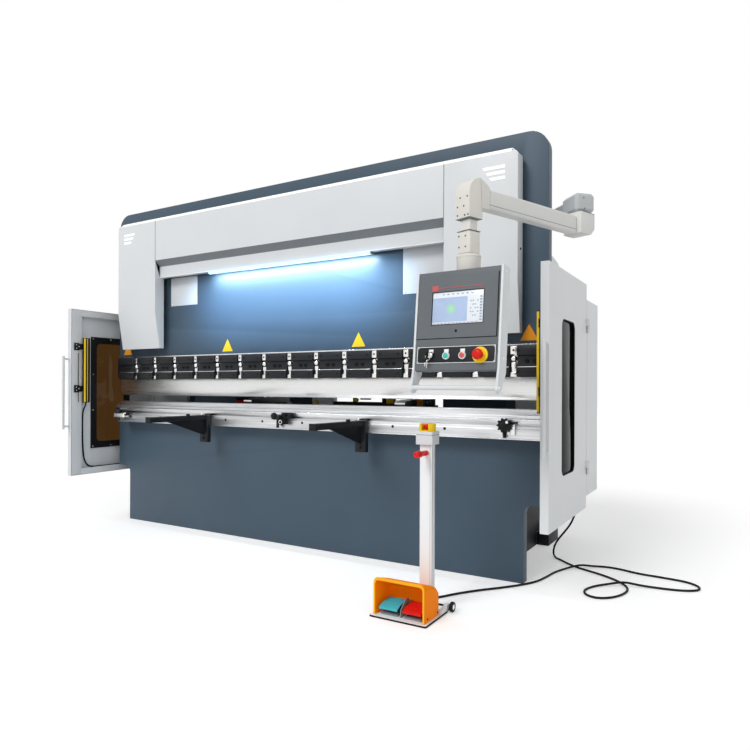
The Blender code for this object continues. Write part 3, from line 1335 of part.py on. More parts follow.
def main():
    clear_scene()
    bed_plate()
    die_holder()
    die()
    front_rail()
    for name, x in zip(("left", "centre", "right"), STOP_PLACES):
        rail_stop("rail_stop_" + name, x)

    frame = side_frame()
    mirrored(frame, "side_frame_left")
    oil_tank()
    rear_beam()
    gauge_guide()
    for side, name in ((-1, "left"), (1, "right")):
        cylinder("cylinder_" + name, side)

    cover_centre()
    mirrored(cover_leg(), "cover_left")
    led_strip()
    mirrored(side_cover(), "side_cover_left")
    arm_bracket()

    ram = [ram_plate(), clamp_row(), punch(), piston_rod("rod_left", -1), piston_rod("rod_right", 1)]
    pose_empty("ram_axis", (0, 0, ram_bottom()), ram)
    pose_empty("gauge_axis", (0, 0.46, 0.68), [gauge_beam()])

    right = [guard(), guard_window(), guard_handle(), light_curtain()]
    left = [mirrored(piece, piece.name.replace("right", "left")) for piece in right]
    x, y = hinge_axis()
    pose_empty("guard_right_axis", (x, y, HINGE_HEIGHTS[0]), right)
    pose_empty("guard_left_axis", (-x, y, HINGE_HEIGHTS[0]), left)

    for side, name in ((-1, "left"), (1, "right")):
        place = side * SUPPORT_PLACE
        pose_empty("support_%s_axis" % name, (place, rail_front(), slot_middle()),
                   [support_arm("support_" + name, place)])

    pose_empty("arm_axis", (PIVOT_X, PIVOT_Y, ELBOW_SPLIT),
               [arm_elbow(), arm_tube(), arm_tail(), arm_stem()])
    pose_empty("console_axis", (CONSOLE_X, CONSOLE_Y, COLLAR_TOP),
               [console_collar(), console_body(), console_screen(), console_panel(), console_stop(),
                console_handle()])

    pedal_base()
    pedal_hood()
    pedal_pole()
    pedal_grip()
    stop_box()
    side_cover_gland()
    cord()
    teal = material("teal_paint", (0.06, 0.52, 0.58), 0.4)
    red = material("red", (0.75, 0.03, 0.02), 0.35)
    for name, x, paint in (("pedal_left", PEDAL_X - 0.056, teal), ("pedal_right", PEDAL_X + 0.056, red)):
        pose_empty(name + "_axis", (x, *pedal_pin()), [pedal(name, x, paint)])


main()
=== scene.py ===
import json
import bpy
import bmesh
from itertools import product
from math import atan2, copysign, cos, pi, radians, sin, sqrt
from mathutils import Matrix, Vector

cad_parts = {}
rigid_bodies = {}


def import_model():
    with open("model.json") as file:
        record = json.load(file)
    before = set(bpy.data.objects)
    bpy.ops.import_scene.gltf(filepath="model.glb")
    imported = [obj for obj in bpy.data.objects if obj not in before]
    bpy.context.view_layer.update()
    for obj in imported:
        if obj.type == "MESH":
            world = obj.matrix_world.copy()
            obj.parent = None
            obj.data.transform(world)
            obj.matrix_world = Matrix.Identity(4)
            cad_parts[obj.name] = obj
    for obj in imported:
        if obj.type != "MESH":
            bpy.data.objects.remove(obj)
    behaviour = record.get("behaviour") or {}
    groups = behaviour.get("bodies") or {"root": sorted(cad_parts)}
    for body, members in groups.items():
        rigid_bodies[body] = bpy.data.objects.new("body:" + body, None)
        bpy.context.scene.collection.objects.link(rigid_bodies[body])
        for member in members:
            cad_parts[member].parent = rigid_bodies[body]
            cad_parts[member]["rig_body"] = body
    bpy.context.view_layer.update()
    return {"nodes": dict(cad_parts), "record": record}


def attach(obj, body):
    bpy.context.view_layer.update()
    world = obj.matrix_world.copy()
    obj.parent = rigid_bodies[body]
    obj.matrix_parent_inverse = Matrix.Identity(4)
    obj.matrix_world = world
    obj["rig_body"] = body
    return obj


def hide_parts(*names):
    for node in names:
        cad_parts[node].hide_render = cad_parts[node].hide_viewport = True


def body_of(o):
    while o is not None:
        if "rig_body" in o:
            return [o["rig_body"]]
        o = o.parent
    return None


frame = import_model()
NODES = frame["nodes"]
SLOTS = {row["node"]: row["material_slot"] for row in frame["record"]["subparts"]}


# Camera, fitted to the machine's straight edges.

CAMERA_PLACE = (2.43296, -3.07171, 0.96812)
CAMERA_TURN, CAMERA_ROLL = 0.537193, 0.0038443
CAMERA_LENS, CAMERA_SHIFT = 30.024, 13.08 / 750


def put(name, data):
    made = bpy.data.objects.new(name, data)
    bpy.context.scene.collection.objects.link(made)
    return made


def camera():
    data = bpy.data.cameras.new("camera")
    data.lens = CAMERA_LENS
    data.sensor_width = 36
    data.shift_y = CAMERA_SHIFT
    made = put("camera", data)
    made.matrix_world = (Matrix.Translation(CAMERA_PLACE) @ Matrix.Rotation(CAMERA_TURN, 4, "Z")
        @ Matrix.Rotation(pi / 2, 4, "X") @ Matrix.Rotation(CAMERA_ROLL, 4, "Z"))
    bpy.context.scene.camera = made


camera()


# Materials.

def tone(red, green, blue):
    """A colour written as on a screen, 0 to 255."""
    return tuple(v / 255 / 12.92 if v < 11 else ((v / 255 + 0.055) / 1.055) ** 2.4 for v in (red, green, blue))


class Graph:
    """The nodes of a material or of the world."""

    def __init__(self, owner):
        owner.use_nodes = True
        self.nodes, self.links = owner.node_tree.nodes, owner.node_tree.links

    def fill(self, node, inputs):
        """Sets each input to a value, or joins it to another node's output."""
        for socket, value in inputs.items():
            if isinstance(value, bpy.types.NodeSocket):
                self.links.new(value, node.inputs[socket])
            else:
                node.inputs[socket].default_value = value

    def add(self, kind, inputs, output, **settings):
        made = self.nodes.new("ShaderNode" + kind)
        for name, value in settings.items():
            setattr(made, name, value)
        self.fill(made, inputs)
        return made.outputs[output]

    def mix(self, below, colour, amount):
        return self.add("Mix", {"B": (*colour, 1), "Factor": amount, "A": below}, "Result", data_type="RGBA")


FINISHES, SLOT_OF = {}, {}


def material(name, colour, rough, spread, scale, grain, relief, slot=None, metallic=0.0, swing=0.06, edge=0.0012,
        coat=0.0, stretch=(1, 1, 1), glow=0.0, wear=0.0, shine=0.35, spot=None, clear=0.0, bend=1.25):
    """A procedural finish: a soft drift of colour, a fine grain in gloss and in relief (micrometres), soft edges."""
    made = bpy.data.materials.new(name)
    FINISHES[name], SLOT_OF[made.name] = made, slot or name
    graph = Graph(made)
    colour = tone(*colour)
    place = graph.add("TexCoord", {}, "Object")
    fit = graph.add("Mapping", {"Scale": stretch, "Vector": place}, "Vector")
    drift = graph.add("TexNoise", {"Scale": scale, "Detail": 6.0, "Roughness": 0.6, "Vector": fit}, "Fac")
    fine = graph.add("TexNoise", {"Scale": grain, "Detail": 2.0, "Vector": fit}, "Fac")

    ramp = graph.nodes.new("ShaderNodeValToRGB")
    for stop, position, change in zip(ramp.color_ramp.elements, (0.3, 0.7), (-spread, spread)):
        stop.position = position
        stop.color = (*(min(1, v * (1 + change)) for v in colour), 1)
    graph.fill(ramp, {"Fac": drift})
    shade = ramp.outputs["Color"]
    if wear:
        raised_edge = graph.add("NewGeometry", {}, "Pointiness")
        worn = graph.add("MapRange", {"From Min": 0.52, "From Max": 0.62, "To Max": wear, "Value": raised_edge},
            "Result")
        shade = graph.mix(shade, [min(1, v * 1.6 + 0.05) for v in colour], worn)
    if spot:
        centre, radius, tint = spot
        far = graph.add("VectorMath", {0: place, 1: centre}, "Value", operation="DISTANCE")
        near = graph.add("MapRange", {"From Min": 0.0, "From Max": radius, "To Min": 1.0, "To Max": 0.0,
            "Value": far}, "Result", interpolation_type="SMOOTHSTEP")
        shade = graph.mix(shade, tone(*tint), near)

    gloss = graph.add("MapRange", {"To Min": max(0.02, rough - swing), "To Max": min(1.0, rough + swing),
        "Value": fine}, "Result")
    bump = {"Strength": 1.0, "Distance": relief / 1e6, "Height": fine}
    if edge:
        bump["Normal"] = graph.add("Bevel", {"Radius": edge}, "Normal", samples=4)
    values = {"Base Color": shade, "Roughness": gloss, "Normal": graph.add("Bump", bump, "Normal"),
        "Metallic": metallic, "Coat Weight": coat, "Coat Roughness": 0.15, "Specular IOR Level": shine}
    if glow:
        values.update({"Emission Color": shade, "Emission Strength": glow})
    if clear:
        values.update({"Transmission Weight": clear, "IOR": bend})
    graph.fill(graph.nodes["Principled BSDF"], values)
    return made


material("slate_paint", (67, 84, 98), 0.44, 0.07, 1.6, 340, 80, shine=0.25, edge=0.002)
PALE = material("pale_paint", (216, 219, 221), 0.4, 0.025, 1.8, 420, 50)
WHITE = material("white_paint", (236, 238, 239), 0.36, 0.02, 2.2, 460, 40, slot="pale_paint")
CREAM = material("cream_paint", (222, 219, 212), 0.4, 0.03, 3, 380, 60)
material("ground_steel", (224, 224, 223), 0.3, 0.05, 10, 160, 10, metallic=1.0, swing=0.08, stretch=(0.04, 1, 1),
    edge=0.0008)
DRAWN = material("drawn_steel", (206, 207, 209), 0.34, 0.3, 34, 160, 10, slot="ground_steel", metallic=1.0,
    swing=0.14, stretch=(0.035, 1, 1), edge=0.0008)
BRIGHT = material("bright_steel", (232, 231, 229), 0.22, 0.08, 20, 220, 20, slot="ground_steel", metallic=1.0,
    swing=0.08, edge=0.0006)
material("black_oxide", (22, 24, 28), 0.4, 0.16, 9, 300, 40, shine=0.25, swing=0.1, wear=0.1)
BLACK = material("black_plastic", (17, 18, 20), 0.5, 0.12, 16, 700, 60, slot="black_oxide", shine=0.2)
CHARCOAL = material("charcoal_panel", (101, 106, 110), 0.48, 0.04, 5, 620, 40, shine=0.25)
DARK = material("dark_panel", (34, 36, 39), 0.46, 0.08, 7, 520, 40, slot="black_oxide", shine=0.2)
GREY = material("grey_paint", (126, 132, 136), 0.46, 0.05, 4, 420, 50, slot="charcoal_panel")
# The hood's lip is a lighter, yellower copy of the orange paint: a painted highlight along its rim.
LIT_HOOD_LIP = material("hood_lip_highlight", (255, 176, 30), 0.42, 0.05, 9, 380, 60, slot="orange_paint", shine=0.15)
# The arm's bracket box is a darker grey than the arm: painted shade on faces turned from the light.
SHADED_BOX_GREY = material("shaded_box_grey", (176, 180, 182), 0.4, 0.035, 5, 420, 80)
ARM_GREY = material("arm_grey", (216, 216, 213), 0.4, 0.035, 5, 420, 80)
# The orange paint glows faintly: painted light, a brightness it doesn't have under the lamps.
material("orange_paint", (252, 134, 6), 0.42, 0.06, 7, 380, 100, shine=0.04, glow=0.09)
TEAL = material("teal_paint", (62, 178, 194), 0.4, 0.07, 9, 420, 80, shine=0.25, wear=0.2)
RED = material("red_paint", (218, 22, 16), 0.36, 0.07, 12, 520, 40, shine=0.25)
YELLOW = material("yellow_plastic", (246, 206, 30), 0.4, 0.05, 10, 520, 40, shine=0.25)
SIGN = material("sign_film", (244, 190, 36), 0.4, 0.05, 14, 300, 20, slot="yellow_plastic", shine=0.25)
# A white that glows a little: painted light on the cover's bars, and a painted highlight on its top bevel.
GLOWING_WHITE = material("glowing_white", (254, 254, 254), 0.5, 0.01, 6, 300, 20, slot="pale_paint", glow=0.12)
AMBER = material("amber_film", (236, 152, 26), 0.44, 0.06, 14, 300, 20, slot="yellow_plastic", shine=0.25)
PLATE = material("plate_film", (206, 210, 214), 0.34, 0.03, 6, 300, 20, slot="pale_paint")
RUBBER = material("cord_rubber", (16, 16, 18), 0.62, 0.18, 26, 900, 100, shine=0.2)
WINDOW = material("tinted_glass", (66, 44, 20), 0.05, 0.08, 3, 60, 20, swing=0.02, edge=0, shine=0.5, clear=1.0)
# The same tinted glass as the left pane, made darker: painted shade for how dark the right pane looks from outside.
DARKENED_GLASS = material("darkened_glass", (24, 27, 28), 0.05, 0.08, 3, 60, 20, slot="tinted_glass", swing=0.02, edge=0,
    shine=0.5, clear=1.0, bend=1.08)
SCREEN = material("screen_glass", (222, 228, 234), 0.14, 0.05, 8, 90, 10, glow=0.1)
SCREEN_VIEW = material("screen_view", (168, 186, 216), 0.14, 0.1, 9, 90, 10, slot="screen_glass", glow=0.1,
    spot=((1.4595, -0.874, 1.272), 0.03, (160, 222, 172)))
SCREEN_GREY = material("screen_grey", (160, 170, 184), 0.14, 0.16, 60, 90, 10, slot="screen_glass", glow=0.08)
RED_FILM = material("red_film", (196, 84, 92), 0.4, 0.05, 20, 300, 20, slot="red_paint")
TEAL_CAP = material("teal_cap", (58, 186, 172), 0.28, 0.06, 40, 600, 20, slot="teal_paint", coat=0.3)
RED_CAP = material("red_cap", (206, 82, 82), 0.28, 0.06, 40, 600, 20, slot="red_paint", coat=0.3)
LAMP = material("light_bar", (186, 224, 250), 0.3, 0.02, 6, 120, 20, glow=0.75)

# Shapes. A kit takes its lengths in millimetres.

FRONT, REAR, UP = (0, -1, 0), (0, 1, 0), (0, 0, 1)
PLANES = {"Z": lambda u, v, w: (u, v, w), "Y": lambda u, v, w: (u, w, v), "X": lambda u, v, w: (w, u, v)}
SMOOTH_UNDER, ROLL_OVER, ROLL_OVER_IN_KIT, FLAT_UNDER = (radians(angle) for angle in (38, 32, 25, 0.6))


def metres(lengths):
    return [v / 1000 for v in lengths]


def shift(place):
    return Matrix.Translation(metres(place))


def circle(steps):
    return [(cos(2 * pi * k / steps), sin(2 * pi * k / steps)) for k in range(steps)]


def show(name, bm, body, finish, replaces=()):
    """Makes a piece of the shape: smooth shading with the sharper edges kept."""
    bmesh.ops.recalc_face_normals(bm, faces=bm.faces)
    for face in bm.faces:
        face.smooth = True
    for rim in bm.edges:
        rim.smooth = len(rim.link_faces) == 2 and rim.calc_face_angle(0) < SMOOTH_UNDER
    mesh = bpy.data.meshes.new(name)
    bm.to_mesh(mesh)
    bm.free()
    mesh.materials.append(finish)
    made = put(name, mesh)
    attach(made, body)
    if replaces:
        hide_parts(*replaces)
    return made


def roll(bm, edges, width, segments=2):
    bmesh.ops.bevel(bm, geom=edges, offset=width, segments=segments, profile=0.6, affect="EDGES", clamp_overlap=True)


def refined(node, width, finish=None, shape=None):
    """The node's own shape with rolled edges and smooth shading, in its place."""
    bm = bmesh.new()
    bm.from_mesh(NODES[node].data)
    if shape:
        for v in bm.verts:
            v.co = shape(*v.co)
    bmesh.ops.remove_doubles(bm, verts=bm.verts, dist=1e-5)
    bmesh.ops.dissolve_limit(bm, angle_limit=FLAT_UNDER, verts=bm.verts, edges=bm.edges)
    bmesh.ops.recalc_face_normals(bm, faces=bm.faces)
    roll(bm, [e for e in bm.edges if len(e.link_faces) == 2 and e.calc_face_angle(0) > ROLL_OVER], width / 1000)
    show(node + "_formed", bm, body_of(NODES[node])[0], finish or FINISHES[SLOTS[node]], [node])


class Kit:
    """Collects small solids and makes one piece of them."""

    def __init__(self, at=None):
        self.bm, self.at = bmesh.new(), at

    def take(self, part, at=None):
        mesh = bpy.data.meshes.new("part")
        part.to_mesh(mesh)
        part.free()
        for move in (at, self.at):
            if move is not None:
                mesh.transform(move)
        self.bm.from_mesh(mesh)
        bpy.data.meshes.remove(mesh)
        return self

    def block(self, low, high, round=1, segments=2):
        part = bmesh.new()
        bmesh.ops.create_cube(part, size=1.0)
        low, high = metres(low), metres(high)
        size = [b - a for a, b in zip(low, high)]
        for v in part.verts:
            v.co = [c * s + (a + b) / 2 for c, s, a, b in zip(v.co, size, low, high)]
        if round:
            roll(part, part.edges[:], min(round / 1000, min(size) * 0.45), segments)
        return self.take(part)

    def row(self, count, step, low, high, round=1):
        """As many blocks, each a step further than the last."""
        for k in range(count):
            self.block(*([v + k * d for v, d in zip(corner, step)] for corner in (low, high)), round)

    def prism(self, outline, low, high, axis="Z", round=0, at=None):
        """The outline, counter-clockwise in the plane across the axis, from low to high along it."""
        part = bmesh.new()
        foot, head = ([part.verts.new(metres(PLANES[axis](u, v, w))) for u, v in outline] for w in (low, high))
        part.faces.new(foot)
        part.faces.new(head)
        for i in range(len(foot)):
            j = (i + 1) % len(foot)
            part.faces.new((foot[i], foot[j], head[j], head[i]))
        bmesh.ops.recalc_face_normals(part, faces=part.faces)
        if round:
            roll(part, [e for e in part.edges if e.calc_face_angle(0) > ROLL_OVER_IN_KIT], round / 1000)
        return self.take(part, at)

    def bands(self, part, rows, closed):
        """Joins each row of corners to the next; a row of one corner is a tip."""
        for one, two in zip(rows, rows[1:] + rows[:1] if closed else rows[1:]):
            steps = max(len(one), len(two))
            for i in range(steps if steps > 1 else 0):
                j = (i + 1) % steps
                if len(one) == 1:
                    part.faces.new((one[0], two[i], two[j]))
                elif len(two) == 1:
                    part.faces.new((one[i], one[j], two[0]))
                else:
                    part.faces.new((one[i], one[j], two[j], two[i]))
        for row in () if closed else (rows[0], rows[-1]):
            if len(row) > 1:
                part.faces.new(row)
        bmesh.ops.recalc_face_normals(part, faces=part.faces)

    def ring(self, outer, inner, low, high, axis="Z"):
        """A flat frame between two outlines of as many points, from low to high across them."""
        part = bmesh.new()
        rows = [[part.verts.new(metres(PLANES[axis](u, v, w))) for u, v in outline]
            for outline, w in ((outer, low), (outer, high), (inner, high), (inner, low))]
        self.bands(part, rows, True)
        return self.take(part)

    def lathe(self, profile, at=None, steps=24):
        """The profile of (radius, height) pairs turned about Z; the ends are closed."""
        part = bmesh.new()
        rows = [[part.verts.new(metres((radius * c, radius * s, height))) for c, s in circle(steps if radius else 1)]
            for radius, height in profile]
        self.bands(part, rows, False)
        return self.take(part, at)

    def sweep(self, path, radius, steps=12, closed=False):
        """A round bar along the path."""
        path = [Vector(p) / 1000 for p in path]
        part, rows, normal = bmesh.new(), [], None
        for i, point in enumerate(path):
            last = len(path) - 1
            before, after = (i - 1, (i + 1) % len(path)) if closed else (max(i - 1, 0), min(i + 1, last))
            along = (path[after] - path[before]).normalized()
            if normal is None:
                normal = along.orthogonal().normalized()
            normal = (normal - along * normal.dot(along)).normalized()
            side = along.cross(normal)
            rows.append([part.verts.new(point + radius / 1000 * (normal * c + side * s)) for c, s in circle(steps)])
        self.bands(part, rows, closed)
        return self.take(part)

    def piece(self, name, body, finish, replaces=(), slot=None):
        return show(name, self.bm, body, finish, replaces)


def facing(point, normal, up=UP):
    """A frame at the point with its Z along the normal."""
    z = Vector(normal).normalized()
    up = Vector(up)
    if abs(z.dot(up)) > 0.98:
        up = Vector((0, 1, 0))
    x = up.cross(z).normalized()
    return shift(point) @ Matrix((x, z.cross(x), z)).transposed().to_4x4()


def screw(kit, point, normal, radius, height, socket=0.5, steps=16):
    """A socket screw's head standing on the surface at the point."""
    lip, hole = min(height * 0.25, radius * 0.2), radius * socket
    kit.lathe([(0, height * 0.35), (hole * 0.9, height * 0.35), (hole, height - lip * 0.3),
        (hole + lip * 0.3, height), (radius - lip, height), (radius, height - lip), (radius, -0.8)],
        facing(point, normal), steps)


def bolt(kit, point, normal, radius, height):
    """A hexagon head on its washer."""
    at = facing(point, normal)
    kit.lathe([(0, height * 0.3), (radius * 1.28, height * 0.3), (radius * 1.36, height * 0.22),
        (radius * 1.36, -0.8)], at, 20)
    kit.lathe([(0, height), (radius * 0.8, height), (radius, height * 0.88), (radius, height * 0.25)], at, 6)


# The cord and its gland, in metres.

CORD_DIAMETER = 0.011
CORD_POINTS = 160
CORD_FIRST = (1.600, 0.590, 0.3614)
CORD_LAST = (1.168, -0.6327, 0.0175)
CORD_ROUTE = [(x / 1000, y / 1000, (z or [6.1])[0] / 1000) for x, y, *z in ((1600, 590, 320), (1590, 590, 265),
    (1566, 590, 200), (1530, 590, 145), (1496, 588, 100), (1475, 578, 58), (1474, 556, 24), (1492, 526, 7.5),
    (1535, 485), (1590, 430), (1655, 380), (1770, 321), (1868, 252), (1925, 180), (1943, 108), (1925, 20),
    (1884, -45), (1833, -72), (1788, -50), (1768, 8), (1790, 88), (1850, 155, 11), (1916, 194, 19), (1985, 213, 11),
    (2080, 232), (2180, 254), (2232, 296), (2232, 352), (2180, 402), (2060, 424), (1945, 436), (1850, 468),
    (1785, 474), (1720, 440, 10), (1660, 386, 19), (1606, 322, 10), (1568, 230), (1553, 130), (1527, 18), (1476, -76),
    (1410, -165), (1339, -250), (1272, -345), (1217, -440), (1184, -505, 10), (1169, -556, 17.5), (1168, -600, 17.5))]


def smooth(points, count):
    """Evenly spaced points along one smooth curve through the given points."""
    points = [Vector(point) for point in points]
    padded = [2 * points[0] - points[1]] + points + [2 * points[-1] - points[-2]]
    fine = []
    for a, b, c, d in zip(padded, padded[1:], padded[2:], padded[3:]):
        knots = [0.0]
        for first, second in ((a, b), (b, c), (c, d)):
            knots.append(knots[-1] + sqrt((second - first).length))
        t0, t1, t2, t3 = knots
        for step in range(12):
            t = t1 + (t2 - t1) * step / 12
            ab = a.lerp(b, (t - t0) / (t1 - t0))
            bc = b.lerp(c, (t - t1) / (t2 - t1))
            cd = c.lerp(d, (t - t2) / (t3 - t2))
            fine.append(ab.lerp(bc, (t - t0) / (t2 - t0)).lerp(bc.lerp(cd, (t - t1) / (t3 - t1)),
                (t - t1) / (t2 - t1)))
    fine.append(points[-1])
    lengths = [0.0]
    for first, second in zip(fine, fine[1:]):
        lengths.append(lengths[-1] + (second - first).length)
    even, k = [], 0
    for i in range(count):
        want = lengths[-1] * i / (count - 1)
        while k < len(fine) - 2 and lengths[k + 1] < want:
            k += 1
        even.append(fine[k].lerp(fine[k + 1], (want - lengths[k]) / (lengths[k + 1] - lengths[k])))
    return even


def cord():
    gland = Kit(shift((1600, 590, 362)))
    profile = [(5.6, 0)]
    for i in range(5):
        low, radius = 1 + i * 3.6, 6.6 + i * 0.8
        profile += [(radius, low), (radius + 0.4, low + 2.2), (radius - 0.7, low + 2.6), (radius - 0.7, low + 3.4)]
    profile += [(11.2, 20.5), (12.8, 21.5), (12.8, 29), (12.2, 29.8), (12.2, 35.8), (0, 35.8)]
    gland.lathe(profile)
    sleeve = gland.piece("cord_gland_ribbed", "frame", RUBBER, ["cord_gland"])

    route = smooth([CORD_FIRST, *CORD_ROUTE, CORD_LAST], CORD_POINTS)
    curve = bpy.data.curves.new("cord_line", "CURVE")
    curve.dimensions = "3D"
    curve.bevel_depth = CORD_DIAMETER / 2
    curve.bevel_resolution = 4
    curve.use_fill_caps = True
    spline = curve.splines.new("POLY")
    spline.points.add(len(route) - 1)
    for point, place in zip(spline.points, route):
        point.co = (*place, 1.0)
    curve.materials.append(RUBBER)
    made = put("cord_line", curve)
    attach(made, "frame")
    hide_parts("cord")


cord()


# Every node's own shape with rolled edges, where nothing more detailed replaces it.

ROW_SHIFT = 42


def narrowed(x, y, z):
    """The guard's folded lips end in one plane. These functions take and give metres."""
    return copysign(max(abs(x), 1.662), x), y, z


def set_out(x, y, z):
    return x + copysign(0.012, x), y, z


def raised(x, y, z):
    """The cover's top edge has a wide bevel, and its upper corners are cut short."""
    side, far = copysign(1, x), abs(x)
    if far > 1.46 and 2.05 < z < 2.07:
        z += 0.044
    elif z > 2.10:
        if 1.415 < far < 1.445:
            far = 1.449 + (far - 1.425) * 5 / 3
        z = 2.120 + (z - 2.108) * 5 / 3
        if y < -0.110:
            y = -0.135 + (y + 0.135) * 5 / 3
    return side * far, y, z


def shortened(x, y, z):
    return max(x, -1.500), y, z


def moved_row(x, y, z):
    """The clamps stand a little to the right of the even setting-out."""
    return (x if abs(x) > 1.59 else min(x + ROW_SHIFT / 1000, 1.594)), y, z


def hooded(x, y, z):
    """The hood is highest at its mouth and slopes down to an upright back."""
    if z < 0.052:
        return x, y, z
    up, back = max(0.0, (z - 0.0635) / 0.087), (y + 0.788) / 0.135
    return (x, y + 0.0195 * up * max(0.0, back), z + 0.0175 * up * (1 - back) - 0.0275 * back * up
        + 0.0365 * back * (1 - up))


for row, width, *changes in (("bed_plate", 1.5), ("rail_stop_left rail_stop_centre rail_stop_right", 1.2),
        ("side_frame_left side_frame_right", 2), ("oil_tank", 3), ("rear_beam", 2),
        ("gauge_guide cylinder_left cylinder_right", 1.5), ("side_cover_left side_cover_right", 3), ("ram_plate", 2),
        ("punch", 0.6), ("rod_left rod_right gauge_beam support_left support_right", 1), ("arm_stem", 2),
        ("console_collar", 1.5), ("console_body", 2), ("console_handle pedal_left pedal_right", 1),
        ("clamp_row", 1.5, None, moved_row), ("pedal_pole", 3, WHITE), ("pedal_hood", 1.5, None, hooded),
        ("cover_left cover_centre cover_right", 2.5, None, raised), ("die_holder", 0.8, DRAWN), ("die", 0.6, DRAWN),
        ("front_rail", 1, DRAWN, shortened), ("arm_tube", 3, ARM_GREY), ("arm_tail", 3, CREAM),
        # The arm's bracket takes the darker grey, which is painted shade.
        ("arm_elbow", 3, ARM_GREY), ("arm_bracket", 3, SHADED_BOX_GREY), ("guard_right", 1.2, None, narrowed),
        ("guard_handle_right", 1, None, set_out), ("guard_left", 1.2, None, narrowed),
        ("guard_handle_left", 1, None, set_out)):
    for node in row.split():
        refined(node, width, *changes)


# Marks and trim on the ram.

def ram_details():
    films, pins = Kit(), Kit()
    for x0, z0, x1, z1 in ((-1046, 1535, -790, 1730), (800, 1485, 1080, 1750)):
        films.block((x0, -32.5, z0), (x1, -29.8, z1), 0.6)
        for x, z in product((x0 + 12, x1 - 12), (z0 + 12, z1 - 12)):
            screw(pins, (x, -32.5, z), FRONT, 5, 2.5)
    films.piece("ram_plates", "ram", PLATE)
    pins.piece("ram_plate_pins", "ram", BRIGHT)
    # The outer triangles are the same yellow film as the inner ones, drawn a deeper amber: painted shade.
    for name, places, finish in (("inner", (-510, 510), SIGN), ("outer", (-1506, 1506), AMBER)):
        marks = Kit()
        for x in places:
            marks.prism([(x - 46, 1206), (x + 46, 1206), (x, 1288)], -31.2, -29.8, "Y", 0)
        marks.piece("ram_triangles_" + name, "ram", finish)
    Kit().block((-1599.5, -31.8, 1181.5), (1599.5, -29.5, 1190), 0.6).piece("ram_edge", "ram", BRIGHT)


ram_details()


# Clamps, punch, die and rail.

def ring_plate(kit, outer, inner, rear, front, round=0.6):
    """A rectangular frame in the XZ plane made of four mitred strips."""
    (x0, z0, x1, z1), (u0, v0, u1, v1) = outer, inner
    for strip in ([(x0, z0), (x1, z0), (u1, v0), (u0, v0)], [(x1, z0), (x1, z1), (u1, v1), (u1, v0)],
            [(x1, z1), (x0, z1), (u0, v1), (u1, v1)], [(x0, z1), (x0, z0), (u0, v0), (u0, v1)]):
        kit.prism(strip, rear, front, "Y", round)


CLAMP_COUNT, CLAMP_PITCH, CLAMP_WIDTH = 16, 200, 162
CLAMP_TOP, CLAMP_LOW, JAW = 1180, 1025, 51.7


def clamp_details():
    strips, screws, wedges = Kit(), Kit(), Kit()
    first, low = ROW_SHIFT - CLAMP_COUNT * CLAMP_PITCH / 2, CLAMP_LOW + JAW
    for i in range(CLAMP_COUNT):
        x, half = first + (i + 0.5) * CLAMP_PITCH, CLAMP_WIDTH / 2
        if i == CLAMP_COUNT - 1:
            x, half = 1527.5, 66
        strips.prism([(-86.8, low - 5.8), (-83.5, low - 0.6), (-70, low + 2.2), (-69, low - 2), (-80, low - 7.5)],
            x - half + 3, x + half - 3, "X", 0.6)
        for dx in (-58, 58):
            screw(screws, (x + dx, -84.5, CLAMP_TOP - 24), FRONT, 7.5, 2.2, 0.62)
            screw(screws, (x + dx, -86.5, CLAMP_LOW + 26), FRONT, 7.5, 2.2, 0.62)
        for dx in (-20, 20):
            screw(screws, (x + dx, -70, (CLAMP_TOP + CLAMP_LOW) / 2 + 1), FRONT, 10, 8, 0.55)
    for i in range(1, CLAMP_COUNT):
        x = first + i * CLAMP_PITCH
        wedges.prism([(x - 17.2, CLAMP_TOP - 42), (x + 17.2, CLAMP_TOP - 42), (x + 17.2, CLAMP_TOP - 3),
            (x - 17.2, CLAMP_TOP - 3)], -77.5, -46, "Y", 2)
        wedges.lathe([(0, 36), (9, 34.5), (13.8, 30), (15, 24), (15, 10), (11, 6), (11, -2)],
            facing((x, -46, CLAMP_TOP - 64), FRONT), 20)
        wedges.block((x - 18.2, -50, CLAMP_LOW + 2), (x + 18.2, -40, CLAMP_TOP - 4), 1)
        wedges.block((x - 12, -70, CLAMP_LOW + 20), (x + 12, -48, CLAMP_TOP - 82), 2)
        wedges.prism([(x - 17.5, CLAMP_LOW + 2), (x + 17.5, CLAMP_LOW + 2), (x + 12.5, CLAMP_LOW + 24),
            (x - 12.5, CLAMP_LOW + 24)], -77, -48, "Y", 1)
        screw(screws, (x, -77.5, CLAMP_TOP - 22.5), FRONT, 5.2, 1.2, 0.6)
    strips.piece("clamp_lips", "ram", BRIGHT)
    wedges.piece("clamp_wedges", "ram", BRIGHT)
    screws.piece("clamp_screws", "ram", BLACK)


def rail_details():
    holes = Kit()
    for x in [-1355 + 306 * k for k in range(9)]:
        holes.lathe([(0, 0.1), (7.8, 0.1), (8.2, -0.4), (8.2, -2)], facing((x, -120.3, 761.2), FRONT), 24)
    holes.piece("rail_holes", "frame", BLACK)
    # Bright steel strips along the rail's top and lower edges: painted highlight lines.
    shine = Kit()
    shine.block((-1499, -114.6, 812.5), (1599.5, -113.6, 817.8), 0.4)
    shine.block((-1499, -120.5, 719.5), (1599.5, -119.6, 722.5), 0.2)
    shine.piece("rail_edge_highlights", "frame", BRIGHT)


def star_knob(kit, at, radius, height, lobes):
    """A lobed hand knob with its top dished, standing on the frame's plane."""
    angles = [pi * i / (3 * lobes) for i in range(6 * lobes)]
    rims = [radius * (0.86 + 0.14 * cos(lobes * a)) for a in angles]
    kit.prism([(r * cos(a), r * sin(a)) for r, a in zip(rims, angles)], 0, height, "Z", height * 0.12, at)
    kit.lathe([(0, height + 3), (radius * 0.28, height + 3), (radius * 0.34, height + 1), (radius * 0.5, height - 1)],
        at, 20)


RAIL_FACE, STOP_MIDDLE = -114.3, 795


